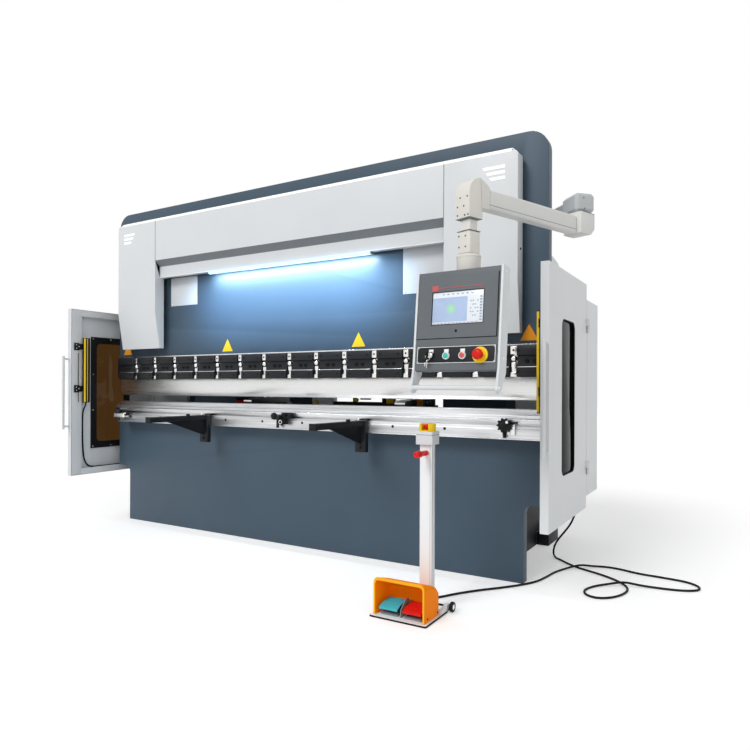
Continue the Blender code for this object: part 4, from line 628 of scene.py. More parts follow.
def stop_details():
    for name, x in (("left", -1450), ("centre", 20), ("right", 1430)):
        black, metal = (Kit(shift((x, RAIL_FACE, STOP_MIDDLE))) for k in range(2))
        if name == "centre":
            star_knob(black, facing((-16, -46, 3), (-0.1, -1, 0)), 21.5, 20, 9)
            ring_plate(black, (22, -10, 92, 24), (50, -2, 70, 18), -36, -4, 3)
            star_knob(black, facing((34, -40, -30), (0.05, -1, -0.1)), 20, 18, 8)
            black.block((20, -34, -46), (48, -2, 10), 4)
            metal.lathe([(9, 0), (9, 1.6), (12.5, 1.6), (12.5, 0)], facing((34, -59, -30), (0.05, -1, -0.1)), 24)
            metal.block((49.5, -20, -3), (70.5, -3, 18.5), 1)
        elif name == "left":
            metal.block((-32, -58, -44), (85, -12, -10), 10, segments=4)
            star_knob(black, facing((-4, -33, 8), (-0.2, -1, 0.2)), 17, 18, 7)
            star_knob(black, facing((94, -33, -12), (0.2, -1, 0)), 19, 20, 7)
            black.block((-20, -32, -10), (48, -4, 6), 3)
            metal.lathe([(0, 0), (6, 0), (6, 4), (0, 4)], facing((94, -53, -12), (0.2, -1, 0)), 16)
        else:
            star_knob(black, facing((-4, -40, -4), (0.1, -1, 0)), 37, 26, 10)
            black.block((-24, -40, -28), (20, -4, 18), 4)
            black.sweep([(10, -22, 8), (50, -26, 9)], 3.5, steps=10)
            black.lathe([(0, 0), (4.2, 0.8), (5.5, 4), (4.2, 7.2), (0, 8)], facing((48, -26, 9), (1, 0, 0)), 16)
            metal.block((6, -34, -52), (44, -4, 0), 4)
            metal.lathe([(0, 0), (6.6, 0), (6.6, 29), (0, 29)], facing((12, -40, 12), (0.1, -1, 0)), 16)
        black.piece("stop_" + name + "_knobs", "frame", BLACK)
        metal.piece("stop_" + name + "_pin", "frame", BRIGHT)


def support_details():
    for name, x in (("left", -600), ("right", 600)):
        metal, black = (Kit(shift((x, 0, 0))) for k in range(2))
        for z in (640, 676):
            bolt(black, (0, -156, z), FRONT, 7.5, 6)
        black.lathe([(0, 12), (10, 12), (11.5, 10.5), (11.5, 0), (11.5, -1)], facing((17.5, -300, 790), UP), 18)
        black.block((-23, -591.5, 756.5), (23, -584, 791.5), 2)
        metal.lathe([(0, 10), (4, 10), (5.2, 8), (5.2, 0)], facing((0, -170, 790), UP), 14)
        metal.piece("support_" + name + "_bolts", "support_" + name, BRIGHT)
        black.piece("support_" + name + "_cap", "support_" + name, BLACK)


clamp_details()
rail_details()
stop_details()
support_details()


# Head cover and LED.

def cover_details():
    white, dark, lip, grey = Kit(), Kit(), Kit(), Kit()
    for side in (-1, 1):
        for k in range(3):
            inner, outer, z = 1298 + 18 * k, 1416, 2060 - 27.5 * k
            white.prism([(side * (inner + 10), z - 16.5), (side * outer, z - 16.5), (side * outer, z),
                (side * inner, z)], -136.4, -134.5, "Y", 0.5)
        dark.block((side * 1090 - 1.3, -135.4, 1846), (side * 1090 + 1.3, -134.2, 2120), 0)
        bolt(dark, (side * 1480, -92, 1650), (side, 0, 0), 5, 3.5)
    # A white strip along the cover's top bevel: a painted highlight.
    white.prism([(-133, 2117.5), (-135.1, 2117.5), (-135.8, 2119.5), (-115.8, 2140.6), (-112, 2140.6),
        (-112, 2138.5)], -1447, 1447, "X", 0.6)
    white.piece("cover_bars_and_bevel_highlight", "frame", GLOWING_WHITE)
    dark.piece("cover_seams", "frame", BLACK)
    grey.prism([(-135.2, 1844.8), (-97.5, 1805.8), (-96.2, 1806.8), (-134, 1846)], -1089.5, 1089.5, "X", 0)
    grey.piece("cover_recess", "frame", GREY)
    lip.block((-1089.5, -98.5, 1729), (1089.5, -94.5, 1734.5), 1)
    lip.piece("cover_lip", "frame", WHITE)
    Kit().prism([(-95.5, 1729.5), (-60, 1729.5), (-64, 1719), (-72, 1716.5), (-85, 1716.5), (-93, 1719.5)], -627, 627,
        "X", 0.6).piece("led_bar", "frame", LAMP, ["led_strip"])
    caps = Kit()
    for side in (-1, 1):
        caps.block((side * 627.5 - 4, -96.8, 1716), (side * 627.5 + 4, -59, 1730), 1.5)
    caps.piece("led_caps", "frame", GREY)


cover_details()


# Console and its arm. The console's Y counts from its face.

CONSOLE = (shift((1491, -775, 0)) @ Matrix.Rotation(radians(-2.9), 4, "Z") @ shift((0, -102, 1240))
    @ Matrix.Rotation(radians(-5.65), 4, "X") @ shift((0, 0, -1240)))
ELBOW = 757.5
ARM = shift((1755, -65, 0)) @ Matrix.Rotation(atan2(-710, -264), 4, "Z")


def console_details():
    panel = Kit(CONSOLE)
    ring_plate(panel, (-169, 1160, 162, 1401), (-107.8, 1212.5, 107.8, 1339.5), 0.5, -1.6, 0)
    panel.piece("console_inset", "console", CHARCOAL)
    gaps_and_shadow = Kit(CONSOLE)
    # Black strips under the raised plate's bottom and right edges: a painted shadow. The frame round the screen and
    # the small ring are dark joints.
    gaps_and_shadow.block((-171.5, -0.4, 1156.8), (166, 1, 1160.2), 0)
    gaps_and_shadow.block((161.8, -0.4, 1156.8), (166.2, 1, 1401), 0)
    ring_plate(gaps_and_shadow, (-109.2, 1211.1, 109.2, 1340.9), (-106.6, 1213.7, 106.6, 1338.3), 1, -2, 0)
    gaps_and_shadow.lathe([(0, 0.3), (3.2, 0.3), (4, 1), (5, 1), (5.4, 0), (5.4, -1)], facing((-1, -1.6, 1186), FRONT), 18)
    gaps_and_shadow.piece("console_gaps_and_shadow", "console", BLACK)
    red = Kit(CONSOLE)
    red.block((-110, -2.2, 1354.5), (105, -1, 1356.8), 0)
    red.block((-110, -2.4, 1344), (-84, -1, 1366), 0)
    red.piece("console_line", "console", RED_FILM)

    Kit(CONSOLE).block((-106.8, 0.5, 1213), (106.8, 4, 1339), 0.4).piece("console_screen_pane", "console", SCREEN,
        ["console_screen"])
    Kit(CONSOLE).block((-106.2, 0.1, 1222.5), (40.5, 0.8, 1316.5), 0).piece("console_view", "console", SCREEN_VIEW)
    keys = Kit(CONSOLE)
    keys.row(9, (0, 0, 11), (92.5, 0.1, 1221), (101, 0.8, 1227.5), 0)
    for k, m in product(range(4), range(5)):
        if (k + m) % 3:
            keys.block((52 + 9.5 * k, 0.1, 1240 + 14 * m), (58 + 9.5 * k, 0.8, 1244 + 14 * m), 0)
    keys.row(7, (20, 0, 0), (-65, 0.1, 1327), (-56, 0.8, 1331), 0)
    keys.row(12, (16, 0, 0), (-101, 0.1, 1216.5), (-92, 0.8, 1218.5), 0)
    keys.piece("console_view_keys", "console", SCREEN_GREY)

    rim = Kit(CONSOLE)
    ring_plate(rim, (-163, 1062.8, 163, 1127.2), (-160.7, 1065.1, 160.7, 1124.9), -0.5, -2.2, 0)
    for x in (-102, -36.5, 31.5):
        rim.block((x - 9.5, -3, 1103.5), (x + 9.5, -0.8, 1116.5), 0.6)
    for x in (-36.5, 31.5):
        rim.lathe([(12.2, 7.5), (12.8, 8.5), (13.8, 8), (14.4, 6.5), (14.4, -1)], facing((x, -1, 1091), FRONT), 28)
    rim.piece("console_trim", "console", WHITE)
    panel = Kit(CONSOLE)
    panel.block((-164, -1, 1062), (164, 3, 1128), 0.6)
    panel.row(17, (0, 0, 3.15), (-154, -1.4, 1068.4), (-118, -0.8, 1069.6), 0)
    panel.piece("console_buttons_plate", "console", DARK, ["console_panel"])
    for name, x, finish in (("green", -36.5, TEAL_CAP), ("red", 31.5, RED_CAP)):
        Kit(CONSOLE).lathe([(0, 9.2), (7.6, 9), (10.8, 8), (12, 6.2), (12, -1)], facing((x, -1, 1091), FRONT),
            28).piece("console_button_" + name, "console", finish)
    lock, keyring = Kit(CONSOLE), Kit(CONSOLE)
    at = facing((-103, -1, 1093.5), FRONT)
    keyring.lathe([(10.5, 6.8), (12, 7), (13.2, 6), (13.8, 4), (13.8, -1)], at, 28)
    lock.lathe([(0, 12), (5.2, 12), (6.2, 11), (6.6, 7), (10.6, 7), (10.6, 0)], at, 28)
    lock.block((-106.8, -29, 1092.5), (-99.2, -12.5, 1094.5), 0.6)
    lock.sweep([(-103 + 10 * sin(a), -26.5 - 2 * cos(a), 1083 + 10.5 * cos(a))
        for a in (2 * pi * k / 24 for k in range(24))], 0.8, closed=True, steps=8)
    lock.block((-115, -26.8, 1049), (-111.8, -25.4, 1074.5), 0.4)
    lock.block((-107.2, -26.2, 1042), (-104.6, -25, 1072), 0.4)
    lock.piece("console_lock", "console", BRIGHT)
    keyring.lathe([(0, 2), (8.6, 2), (10, 1.2), (10, -1.2), (8.6, -2), (0, -2)],
        facing((-103, -31, 1093.5), (-1, 0, 0)), 20)
    keyring.lathe([(0, 1.6), (8.5, 1.6), (9.8, 0.8), (9.8, -0.8), (8.5, -1.6), (0, -1.6)],
        facing((-114.8, -26.2, 1073.5), (0.3, -1, 0)), 20)
    keyring.piece("console_keys", "console", BLACK)

    stop = Kit(CONSOLE)
    at = facing((103, -1.2, 1091), FRONT)
    stop.lathe([(0, 4), (21.5, 4.6), (29, 4.2), (30.6, 3), (31, 0)], at, 40)
    stop.piece("console_stop_disc", "console", YELLOW)
    Kit(CONSOLE).lathe([(0, 37.5), (6, 38), (13, 36.8), (18, 33.5), (20.3, 29), (20.3, 24.5), (18.5, 21), (12.5, 19),
        (11.8, 8), (14, 4.6), (14, 3)], at, 40).piece("console_stop_head", "console", RED, ["console_stop"])
    pins = Kit(CONSOLE)
    for x, z in ((-157.5, 1068.2), (157.5, 1068.2), (-157.5, 1121.8), (157.5, 1121.8)):
        screw(pins, (x, -1, z), FRONT, 2, 1)
    for side in (-1, 1):
        for z, y in ((1400, 17), (1080, 22)):
            screw(pins, (side * 181.5, y, z), (side, 0, 0), 4.2, 2.2)
        bolt(pins, (side * 181.5, -4, 968.7), (side, 0, 0), 5, 3.2)
    pins.piece("console_pins", "console", BRIGHT)
    back = Kit(CONSOLE)
    back.row(11, (0, 0, 11), (-90, 156.5, 1150), (90, 158.6, 1154.5), 0.6)
    back.piece("console_vents", "console", DARK)


def arm_details():
    holes, seams = Kit(ARM), Kit(ARM)
    for y, z in ((-26.2, 1677.4), (7.3, 1676.5), (-26, 1644), (12.2, 1640), (29, 1640), (-12, 1711), (24.9, 1711)):
        screw(holes, (ELBOW + 37.1, y, z), (1, 0, 0), 3.4, 0.6, 0.75, 14)
    for y, z in ((-21.9, 1562.8), (12.6, 1560.5), (-21.5, 1520), (12.8, 1518.8)):
        screw(holes, (ELBOW + 33.1, y, z), (1, 0, 0), 3.4, 0.6, 0.75, 14)
    holes.piece("arm_screws", "arm", BLACK)
    pins = Kit(ARM)
    for x, z in ((40, 1845), (33, 1798)):
        screw(pins, (x, 47.1, z), REAR, 3, 0.6, 0.75, 14)
    pins.piece("bracket_screws", "frame", BLACK)
    seams.block((ELBOW - 37.2, -37.2, 1629.2), (ELBOW + 37.2, 37.2, 1631.2), 0.6)
    seams.block((ELBOW - 33.5, -33.5, 1581.5), (ELBOW + 33.5, 33.5, 1583), 0.5)
    seams.block((-48, -48, 1782.2), (48, 48, 1783.8), 0.6)
    seams.block((64, 25.5, 1699), (690, 26.6, 1701.2), 0)
    seams.block((64, -26.6, 1699), (690, -25.5, 1701.2), 0)
    seams.piece("arm_gaskets", "arm", GREY)


console_details()
arm_details()


# Guards with their windows, light barriers and cables.

LIP_IN, GUARD_LOW, GUARD_HIGH = 1662, 340, 1520
CABLE_ROUTE = [(1640, -280, 858), (1650, -279, 835), (1680, -274, 800), (1691.5, -270, 770), (1691.5, -272, 658),
    (1691.5, -269, 550), (1691.5, -258, 452), (1691.5, -238, 409), (1691.5, -202, 388), (1691.5, -130, 385),
    (1691.5, -45, 383), (1691.5, 120, 386), (1691.5, 330, 392)]


def loop(low, high, radius, steps=6):
    """A rectangle's outline with rounded corners, counter-clockwise."""
    (u0, v0), (u1, v1) = low, high
    corners = ((u1 - radius, v1 - radius), (u0 + radius, v1 - radius), (u0 + radius, v0 + radius),
        (u1 - radius, v0 + radius))
    return [(u + radius * cos(a), v + radius * sin(a)) for k, (u, v) in enumerate(corners)
        for a in (pi / 2 * (k + i / steps) for i in range(steps + 1))]


def window(by, radius):
    """The outline of the guard's window, grown all round."""
    return loop((-160 - by, 566 - by), (80 + by, 1290 + by), radius)


def guard_details():
    # The right pane takes the darker glass, which is painted shade.
    for name, side, pane_finish in (("right", 1, DARKENED_GLASS), ("left", -1, WINDOW)):
        at = Matrix.Diagonal((side, 1, 1, 1))
        body = "guard_" + name
        sheet = Kit(at)
        sheet.block((LIP_IN, -379.8, GUARD_LOW + 1), (LIP_IN + 2.5, -300, GUARD_HIGH - 1), 0.8)
        sheet.block((LIP_IN, -301, GUARD_HIGH - 46), (LIP_IN + 2.5, 330, GUARD_HIGH - 1), 0.8)
        sheet.block((LIP_IN, -301, GUARD_LOW + 1), (LIP_IN + 2.5, 330, GUARD_LOW + 46), 0.8)
        sheet.block((LIP_IN, -301.5, GUARD_LOW + 47), (LIP_IN + 25, -299, GUARD_HIGH - 47), 0.8)
        sheet.block((LIP_IN + 22.5, -301, GUARD_LOW + 47), (LIP_IN + 35, -286, GUARD_HIGH - 47), 0.8)
        for z in (690, 1165):
            sheet.lathe([(0, 3), (10.5, 3), (12, 1.8), (12, -1)], facing((1688, -380, z), FRONT), 20)
        sheet.piece("guard_flanges_" + name, body, PALE)

        black, white, yellow = Kit(at), Kit(at), Kit(at)
        black.block((1623, -300, 857), (1653, -260, 1318), 2.5)
        for z in (935, 1235):
            black.block((1647, -360, z), (1662, -293, z + 40), 1.5)
            black.block((1658, -360, z - 6), (1662.5, -320, z + 46), 1.5)
            for y, h in ((-350, 8), (-350, 32), (-331, 20)):
                screw(white, (1647, y, z + h), (-1, 0, 0), 3.6, 1.8)
        black.sweep([(1650, -333, 861), (1650, -333, 1209)], 2.5, steps=8)
        black.piece("light_curtain_housing_" + name, body, BLACK)
        yellow.block((1623.5, -301.2, 862), (1634, -299.5, 1313), 0.6)
        yellow.block((1622, -299.5, 862), (1623.8, -294, 1313), 0.6)
        yellow.block((1622, -283, 862), (1623.8, -278, 1313), 0.6)
        yellow.piece("light_curtain_strips_" + name, body, YELLOW, ["light_curtain_" + name])

        Kit(at).ring(window(45, 3), window(0, 34), 1688.5, 1696.8, "X").piece("guard_window_frame_" + name, body,
            BLACK)
        gasket = Kit(at)
        gasket.ring(window(2.5, 37.5), window(-1.5, 33.5), 1696, 1700.8, "X")
        gasket.sweep(smooth(CABLE_ROUTE, 70), 5.2, steps=10)
        for y, z in ((-272, 640), (-190, 387), (60, 385)):
            gasket.block((1690, y - 6, z - 6), (1697.5, y + 6, z + 6), 1.2)
        gasket.piece("guard_rubber_" + name, body, RUBBER)
        Kit(at).prism(window(12, 40), 1690.6, 1694.6, "X", 0.4).piece("guard_pane_" + name, body, pane_finish,
            ["guard_window_" + name])
        for y, z in product((-190, -40, 110), (535, 800, 1060, 1321)):
            if y != -40 or z in (535, 1321):
                screw(white, (1688.5, y, z), (-1, 0, 0), 4.8, 2.2)
        white.piece("guard_screws_" + name, body, BRIGHT)


# Cabinets behind the guards.

def cabinet_details():
    for name, side in (("right", 1), ("left", -1)):
        at = Matrix.Diagonal((side, 1, 1, 1))
        seams, metal = Kit(at), Kit(at)
        seams.ring(loop((1340, 428), (1688, 1412), 12), loop((1342.5, 430.5), (1685.5, 1409.5), 10), 628.5, 630.4,
            "Y")
        seams.row(12, (0, 0, 16), (1430, 628.5, 1160), (1600, 631.2, 1166), 0.8)
        seams.piece("cabinet_seams_" + name, "frame", BLACK)
        for z in (700, 1050):
            metal.lathe([(0, 3), (5, 3), (5.6, 5), (10.5, 5), (12, 3.5), (12, -1)], facing((1375, 630, z), REAR), 20)
        for z in (520, 925, 1330):
            metal.lathe([(0, -30), (5, -30), (5, 30), (0, 30)], shift((1692, 632, z)), 14)
        for y, z in product((415, 600), (418, 1422)):
            screw(metal, (1700, y, z), (1, 0, 0), 4, 2)
        metal.piece("cabinet_locks_" + name, "frame", BRIGHT)


# Pedal station and its stop button.

PEDAL = shift((1190, 0, 0))
POLE_X, POLE_Y, TREAD_SLOPE = 1237, -615, 4.1 / 69.5
STOP = shift((POLE_X, POLE_Y, 724.5))


def pedal_details():
    plate, rubber, wheels, steel, wall = (Kit(PEDAL) for k in range(5))
    plate.prism(loop((-131, -800), (131, -590), 6, 3), 5.8, 8.2, "Z", 0.8)
    rubber.prism(loop((-134.5, -803.5), (134.5, -587), 8, 3), 0.2, 6.2, "Z", 0.8)
    for side in (-1, 1):
        x = side * 128
        plate.prism([(-640, 6.5), (-590, 6.5), (-558, 14), (-558, 30), (-575, 34), (-640, 16)], x - 14, x + 4, "X",
            1.5)
        rubber.prism([(-640, 3), (-590, 3), (-556, 9), (-556, 14), (-590, 7), (-640, 7)], x - 15, x + 5, "X", 0.8)
        turn = facing((side * 140, -572, 22), (side, 0, 0))
        wheels.lathe([(11, 0.5), (18.5, 0), (21.6, 2.2), (22, 5), (22, 11), (21.6, 13.8), (18.5, 15.8), (13, 15.8),
            (12, 12.5), (0, 12.5)], turn, 32)
        steel.lathe([(0, -12), (5, -12), (5, 12.5), (11.2, 13), (11.2, 15), (6, 16), (5, 17.2), (0, 17.2)], turn, 24)
        for y in (-770, -612):
            screw(steel, (side * 111, y, 8), UP, 5, 2.6)
    steel.lathe([(0, 0), (4, 0), (4, 230), (0, 230)], facing((-115, -674, 50), (1, 0, 0)), 16)
    rubber.sweep([(-126, -572, 22), (126, -572, 22)], 4.5, steps=12)
    plate.piece("pedal_plate", "frame", WHITE, ["pedal_base"])
    rubber.piece("pedal_mat", "frame", RUBBER)
    wheels.piece("pedal_wheels", "frame", BLACK)
    steel.piece("pedal_hardware", "frame", BRIGHT)

    wall.prism([(-772, 8.5), (-686, 8.5), (-690, 58), (-700, 74), (-722, 74), (-768, 40)], -2.5, 2.5, "X", 1.2)
    wall.block((-8, -700, 8), (8, -668, 56), 2)
    wall.block((-96, -770, 8), (-16, -700, 15), 2)
    wall.block((16, -770, 8), (96, -700, 15), 2)
    wall.piece("pedal_divider", "frame", GREY)

    outer = loop((1070, -100), (1310, 150.5), 22, 6)[:14]
    inner = loop((1078, -100), (1302, 140), 15, 6)[:14]
    # The lip is drawn in the lighter orange, a painted highlight.
    lip = Kit()
    outline = [(1310, 9.5), *outer, (1070, 9.5), (1078, 9.5), *inner[::-1], (1302, 9.5)]
    outline = [(x, z + 17.5 * max(0, (z - 63.5) / 87)) for x, z in outline]
    lip.prism(outline, -790, -786.8, "Y", 0)
    lip.piece("hood_lip_highlight", "frame", LIT_HOOD_LIP)
    pins = Kit()
    for x, normal in ((1070, (-1, 0, 0)), (1310, (1, 0, 0))):
        for y, z in ((-760, 22), (-664, 22)):
            screw(pins, (x, y, z), normal, 4.2, 2.2)
    pins.piece("hood_screws", "frame", BLACK)

    for name, x, finish in (("left", 1134, TEAL), ("right", 1246, RED)):
        tread, cheeks = Kit(), Kit()
        tread.row(11, (0, 5.8, 5.8 * TREAD_SLOPE), (x - 40, -743, 51.5 + 5 * TREAD_SLOPE),
            (x + 40, -740.2, 53.5 + 5 * TREAD_SLOPE), 0.6)
        tread.row(3, (0, 8.5, 3.4), (x - 40, -774, 39.8), (x + 40, -771, 43.4), 0.6)
        for side in (-1, 1):
            cheeks.prism([(-776, 33), (-771.5, 31.2), (-680, 44), (-680, 53.5), (-748, 50), (-776, 38.5)],
                x + side * 44.8 - 0.8, x + side * 44.8 + 0.8, "X", 0.4)
        tread.piece("pedal_tread_" + name, "pedal_" + name, finish)
        cheeks.piece("pedal_cheeks_" + name, "pedal_" + name, BLACK)


def pole_details():
    seams, metal = Kit(), Kit()
    for y in (-625, -607):
        seams.block((1265.5, y - 1, 12), (1266.4, y + 1, 720), 0)
        seams.block((1207.6, y - 1, 12), (1208.5, y + 1, 720), 0)
    seams.block((1259, -635.4, 12), (1260.2, -634.6, 720), 0)
    seams.piece("pole_grooves", "frame", GREY)
    metal.block((1204, -639, 8), (1270, -591, 18), 2)
    for x in (1213, 1261):
        screw(metal, (x, -639, 13), FRONT, 3, 1.5)
    metal.piece("pole_foot", "frame", PALE)
    grip = Kit()
    turn = facing((POLE_X + 6, POLE_Y - 20.5, 689), FRONT)
    grip.lathe([(0, 0), (10.5, 0), (11.5, 2), (11.5, 26), (10.6, 27), (10.6, 29), (11.5, 30), (11.5, 60), (14.5, 65),
        (14.5, 78)], turn, 32)
    grip.piece("grip_body", "frame", RED, ["pedal_grip"])
    Kit().lathe([(14.5, 78), (13.8, 78.5), (13.8, 80), (14.5, 80.5), (14.5, 95), (12.5, 100), (8.5, 102), (7, 101),
        (0, 100.5)], turn, 32).piece("grip_end", "frame", RED)

    box = Kit(STOP)
    box.prism(loop((-40, -37), (40, 37), 5, 4), 0, 57, "Z", 2.5)
    box.prism(loop((-40.5, -37.5), (40.5, 37.5), 5, 4), 43, 55, "Z", 1.2)
    box.piece("stop_case", "frame", PALE, ["stop_box"])
    Kit(STOP).prism(loop((-40.2, -37.2), (40.2, 37.2), 5, 4), 41.8, 43.2, "Z", 0).piece("stop_case_seam", "frame",
        DARK, slot="charcoal_panel")
    ring = Kit(STOP)
    ring.lathe([(0, 53.5), (34, 53.5), (35.2, 56), (35.2, 62), (0, 62)], steps=40)
    start, sweep = radians(-60), radians(300)
    arc = [start + sweep * k / 40 for k in range(41)]
    ring.prism([(36 * cos(a), 36 * sin(a)) for a in arc] + [(28.5 * cos(a), 28.5 * sin(a)) for a in arc[::-1]], 60,
        90, "Z", 1.2)
    ring.piece("stop_ring", "frame", YELLOW)
    Kit(STOP).lathe([(9.5, 60), (9.5, 70), (15, 71.5), (18.5, 74.5), (19, 80), (17, 84.5), (11, 87.2), (0, 88)],
        steps=36).piece("stop_head", "frame", RED)


# Small units on the back gauge's beam.

def gauge_details():
    units = {kind: Kit() for kind in ("black", "white", "yellow", "orange", "steel", "red")}
    for kind, low, high, round in (("black", (-905, 470, 813), (-690, 530, 893), 4),
            ("red", (-900, 466.5, 850), (-700, 470.5, 872), 1), ("white", (-190, 472, 813), (-15, 528, 925), 3),
            ("black", (-12, 475, 846), (640, 500, 876), 3), ("black", (150, 470, 868), (170, 505, 906), 2),
            ("black", (205, 475, 890), (285, 487, 900), 2), ("black", (375, 472, 868), (408, 505, 912), 3),
            ("steel", (460, 478, 884), (642, 486, 890), 1), ("black", (460, 478, 898), (642, 486, 906), 1),
            ("yellow", (408, 470, 868), (466, 500, 912), 4), ("orange", (663.5, 268, 861.2), (736.5, 349, 901), 3),
            ("steel", (735, 130, 864), (736.2, 262, 868), 0.4), ("steel", (735, 130, 877), (736.2, 262, 882), 0.4),
            ("steel", (735, 130, 890), (736.2, 262, 895), 0.4), ("steel", (734.5, 360, 864), (736.8, 392, 898), 1),
            ("steel", (734.5, 404, 870), (736.8, 436, 886), 1), ("steel", (734.5, 446, 866), (736.8, 472, 896), 1),
            ("steel", (734.5, 484, 874), (736.8, 524, 890), 1), ("black", (1060, 462, 738), (1075, 538, 812), 3),
            ("black", (-1075, 462, 738), (-1060, 538, 812), 3)):
        units[kind].block(low, high, round)
    knob = [(0, 22), (12, 22), (14.5, 19.5), (14.5, 4), (12, 1), (12, -2)]
    for x, z in ((-150, 868), (183, 890)):
        units["yellow"].lathe(knob, facing((x, 474, z), FRONT), 24)
    for place in (-470, 700):
        for y in (300, 360):
            screw(units["steel"], (place, y, 900), UP, 9, 7)
        units["steel"].block((place - 34, 119, 870), (place + 34, 121.5, 884), 0.5)
    for k in range(9):
        bolt(units["steel"], (-960 + 240 * k, 460, 775), FRONT, 6, 4)
        bolt(units["steel"], (-960 + 240 * k, 540, 775), REAR, 6, 4)
    for kind, finish, slot in (("black", BLACK, None), ("white", WHITE, None), ("yellow", YELLOW, None),
            ("orange", AMBER, "orange_paint"), ("steel", BRIGHT, None), ("red", RED, None)):
        units[kind].piece("gauge_units_" + kind, "back_gauge", finish, slot=slot)


# Hidden sides.

def rear_details():
    seams, metal, black, trunk = Kit(), Kit(), Kit(), Kit()
    for low, high in ((-1235, -650), (530, 1235)):
        seams.ring(loop((low, 545), (high, 1285), 10), loop((low + 3, 548), (high - 3, 1282), 8), 1138.5, 1140.5, "Y")
        middle = (low + high) / 2
        seams.row(10, (0, 0, 18), (middle - 130, 1138.5, 1060), (middle + 130, 1141.2, 1067))
        edge = high - 30 if low < 0 else low + 30
        for z in (660, 915, 1170):
            metal.lathe([(0, 4), (6, 4), (7, 6.5), (12, 6.5), (14, 4.5), (14, -1)], facing((edge, 1140, z), REAR), 20)
        for x, z in product((low - 6, high + 6), (600, 915, 1230)):
            screw(metal, (x, 1140, z), REAR, 5, 3)
    for x, z in product((-1200, -720, -240, 240, 720, 1200), (180, 460)):
        bolt(metal, (x, 1140, z), REAR, 12, 9)
    for k, y in product(range(11), (335, 685)):
        bolt(metal, (-1100 + 220 * k, y, 1992), UP, 7, 5)
    for side in (-1, 1):
        for dx, y in product((-85, 85), (-70, 70)):
            screw(metal, (side * 1280 + dx, y, 1985), UP, 12, 11)
        metal.lathe([(0, 0), (9, 0), (9, 30), (13, 30), (13, 44), (9, 46), (0, 46)], shift((side * 1280, 62, 1985)),
            20)
        pipe = smooth([(side * 1280, 62, 2030), (side * 1280, 62, 2044), (side * 1272, 72, 2055),
            (side * 1240, 110, 2058), (side * 1180, 220, 2058), (side * 1120, 330, 2058), (side * 1104, 372, 2052),
            (side * 1100, 384, 2030), (side * 1100, 386, 1990)], 60)
        metal.sweep(pipe, 7, steps=12)
        for z, y in ((200, 1050), (460, 1050), (1560, 340), (1900, 340), (1560, 680), (1900, 680)):
            bolt(metal, (side * 1310, y, z), (side, 0, 0), 11, 8)
        black.ring(loop((560, 1930), (640, 2010), 39.5), loop((568, 1938), (632, 2002), 31.5), side * 1308.5,
            side * 1312, "X")
        # A black sheet over the side frame's lower outer face: painted shade, where the guards and cabinets shade it.
        black.prism([(34, 2), (770, 2), (770, 84), (1010, 84), (1010, 2), (1150, 2), (1165, 20), (1165, 385),
            (34, 385)], side * 1310.2, side * 1312.5, "X", 0.5)
        x0, x1 = sorted((side * 1309.5, side * 1386))
        black.block((x0, 779, 0.5), (x1, 1001, 78), 4)
        black.lathe([(24, 0), (24, 26), (21, 30), (15, 30), (0, 30)], shift((side * 1356, 955, 77.5)), 24)
        metal.lathe([(0, 36.5), (12, 36.5), (16.5, 34.5), (17.5, 29)], shift((side * 1356, 955, 77.5)), 24)
        trunk.prism([(800, 1560), (1050, 1560), (1050, 1735), (960, 1775), (800, 1800)], side * 1310.5, side * 1388,
            "X", 4)
        for y, z in ((840, 1600), (1010, 1600), (840, 1740), (1010, 1700)):
            screw(metal, (side * 1388, y, z), (side, 0, 0), 5, 2.8)
    metal.lathe([(0, 20), (8, 20), (10, 17), (10, 0), (16, 0), (16, -4)], shift((-600, 500, 1996)), 18)
    black.block((620, 739.5, 1580), (660, 748, 1760), 4)
    metal.block((630, 747, 1600), (650, 749.2, 1740), 2)
    black.lathe([(0, 30), (16, 30), (20, 27), (20, 8), (27, 6), (27, 0)], facing((-700, 740, 1540), REAR), 24)
    black.lathe([(36, 0), (38.5, 4), (38.5, 18), (36, 22), (36, 50), (40, 54), (40, 68.5), (37, 70.5), (0, 70.8)],
        shift((900, 510, 1980)), 30)
    seams.piece("rear_seams", "frame", BLACK)
    metal.piece("rear_fasteners", "frame", BRIGHT)
    black.piece("tank_fittings_and_shade_sheets", "frame", BLACK)
    trunk.piece("cable_trunks", "frame", PALE)


guard_details()
cabinet_details()
pedal_details()
pole_details()
gauge_details()
rear_details()


# Floor, lights and world.

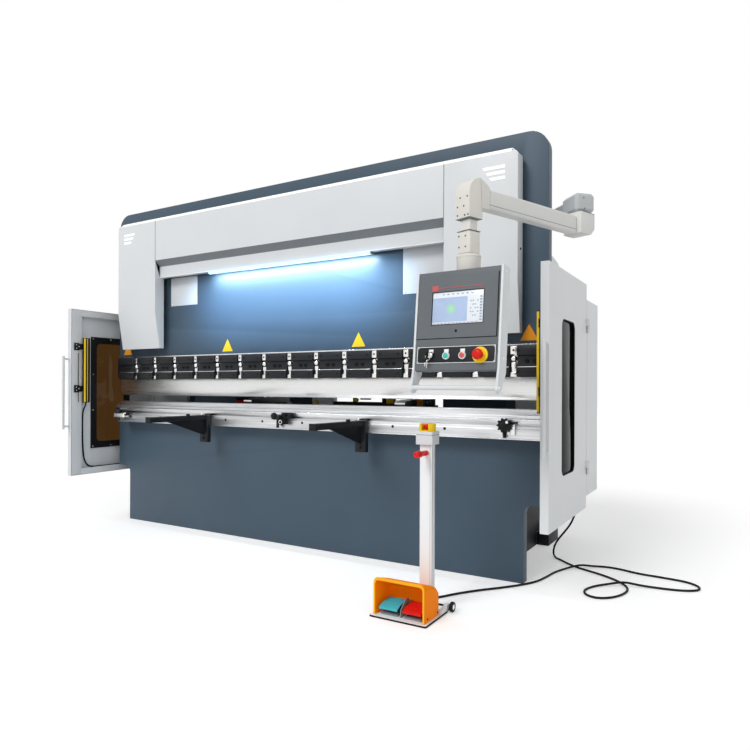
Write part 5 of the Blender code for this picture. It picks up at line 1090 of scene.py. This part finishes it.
def seen_level(graph, otherwise, seen):
    """A strength that is "seen" for what the camera, a gloss or a clear pane shows, and "otherwise" for light."""
    ray = graph.nodes.new("ShaderNodeLightPath").outputs
    total = ray["Is Camera Ray"]
    for kind in ("Is Glossy Ray", "Is Transmission Ray"):
        total = graph.add("Math", {0: total, 1: ray[kind]}, "Value", operation="MAXIMUM")
    return graph.add("MapRange", {"To Min": otherwise, "To Max": seen, "Value": total}, "Result")


def hang(name, kind, energy, **settings):
    data = bpy.data.lights.new(name, kind)
    data.energy = energy
    for key, value in settings.items():
        setattr(data, key, value)
    return put(name, data)


def studio():
    mesh = bpy.data.meshes.new("floor")
    mesh.from_pydata([(x, y, -0.0006) for x, y in ((-30, -30), (30, -30), (30, 30), (-30, 30))], [], [(0, 1, 2, 3)])
    floor = put("floor", mesh)
    paper = bpy.data.materials.new("floor_paper")
    graph = Graph(paper)
    graph.fill(graph.nodes["Principled BSDF"], {"Base Color": (0.86, 0.86, 0.86, 1), "Roughness": 0.9,
        "Emission Color": (1, 1, 1, 1), "Emission Strength": seen_level(graph, 0.0, 0.30)})
    mesh.materials.append(paper)

    world = bpy.data.worlds.new("studio")
    bpy.context.scene.world = world
    graph = Graph(world)
    graph.fill(graph.nodes["Background"], {"Color": (1, 1, 1, 1), "Strength": seen_level(graph, 0.50, 1.0)})

    for name, energy, angle, turn in (("key", 1.45, 0.40, (50, 0, -14)), ("fill", 0.40, 0.8, (60, 0, 50))):
        hang(name, "SUN", energy, angle=angle).rotation_euler = [radians(a) for a in turn]
    for name, energy, colour, size, place, back, spread in (("strip", 11.0, (0.78, 0.91, 1.0), (1.24, 0.02),
            (0, -88, 1714), (0, -0.50, 0.85), 170), ("glow", 6.0, (0.34, 0.62, 1.0), (1.50, 0.06), (0, -420, 1760),
            (0, -0.82, 0.57), 66)):
        lamp = hang(name, "AREA", energy, shape="RECTANGLE", size=size[0], size_y=size[1], color=colour,
            spread=radians(spread))
        lamp.matrix_world = facing(place, back, (1, 0, 0)) @ Matrix.Rotation(pi / 2, 4, "Z")


studio()
bpy.context.scene.view_settings.view_transform = "Standard"
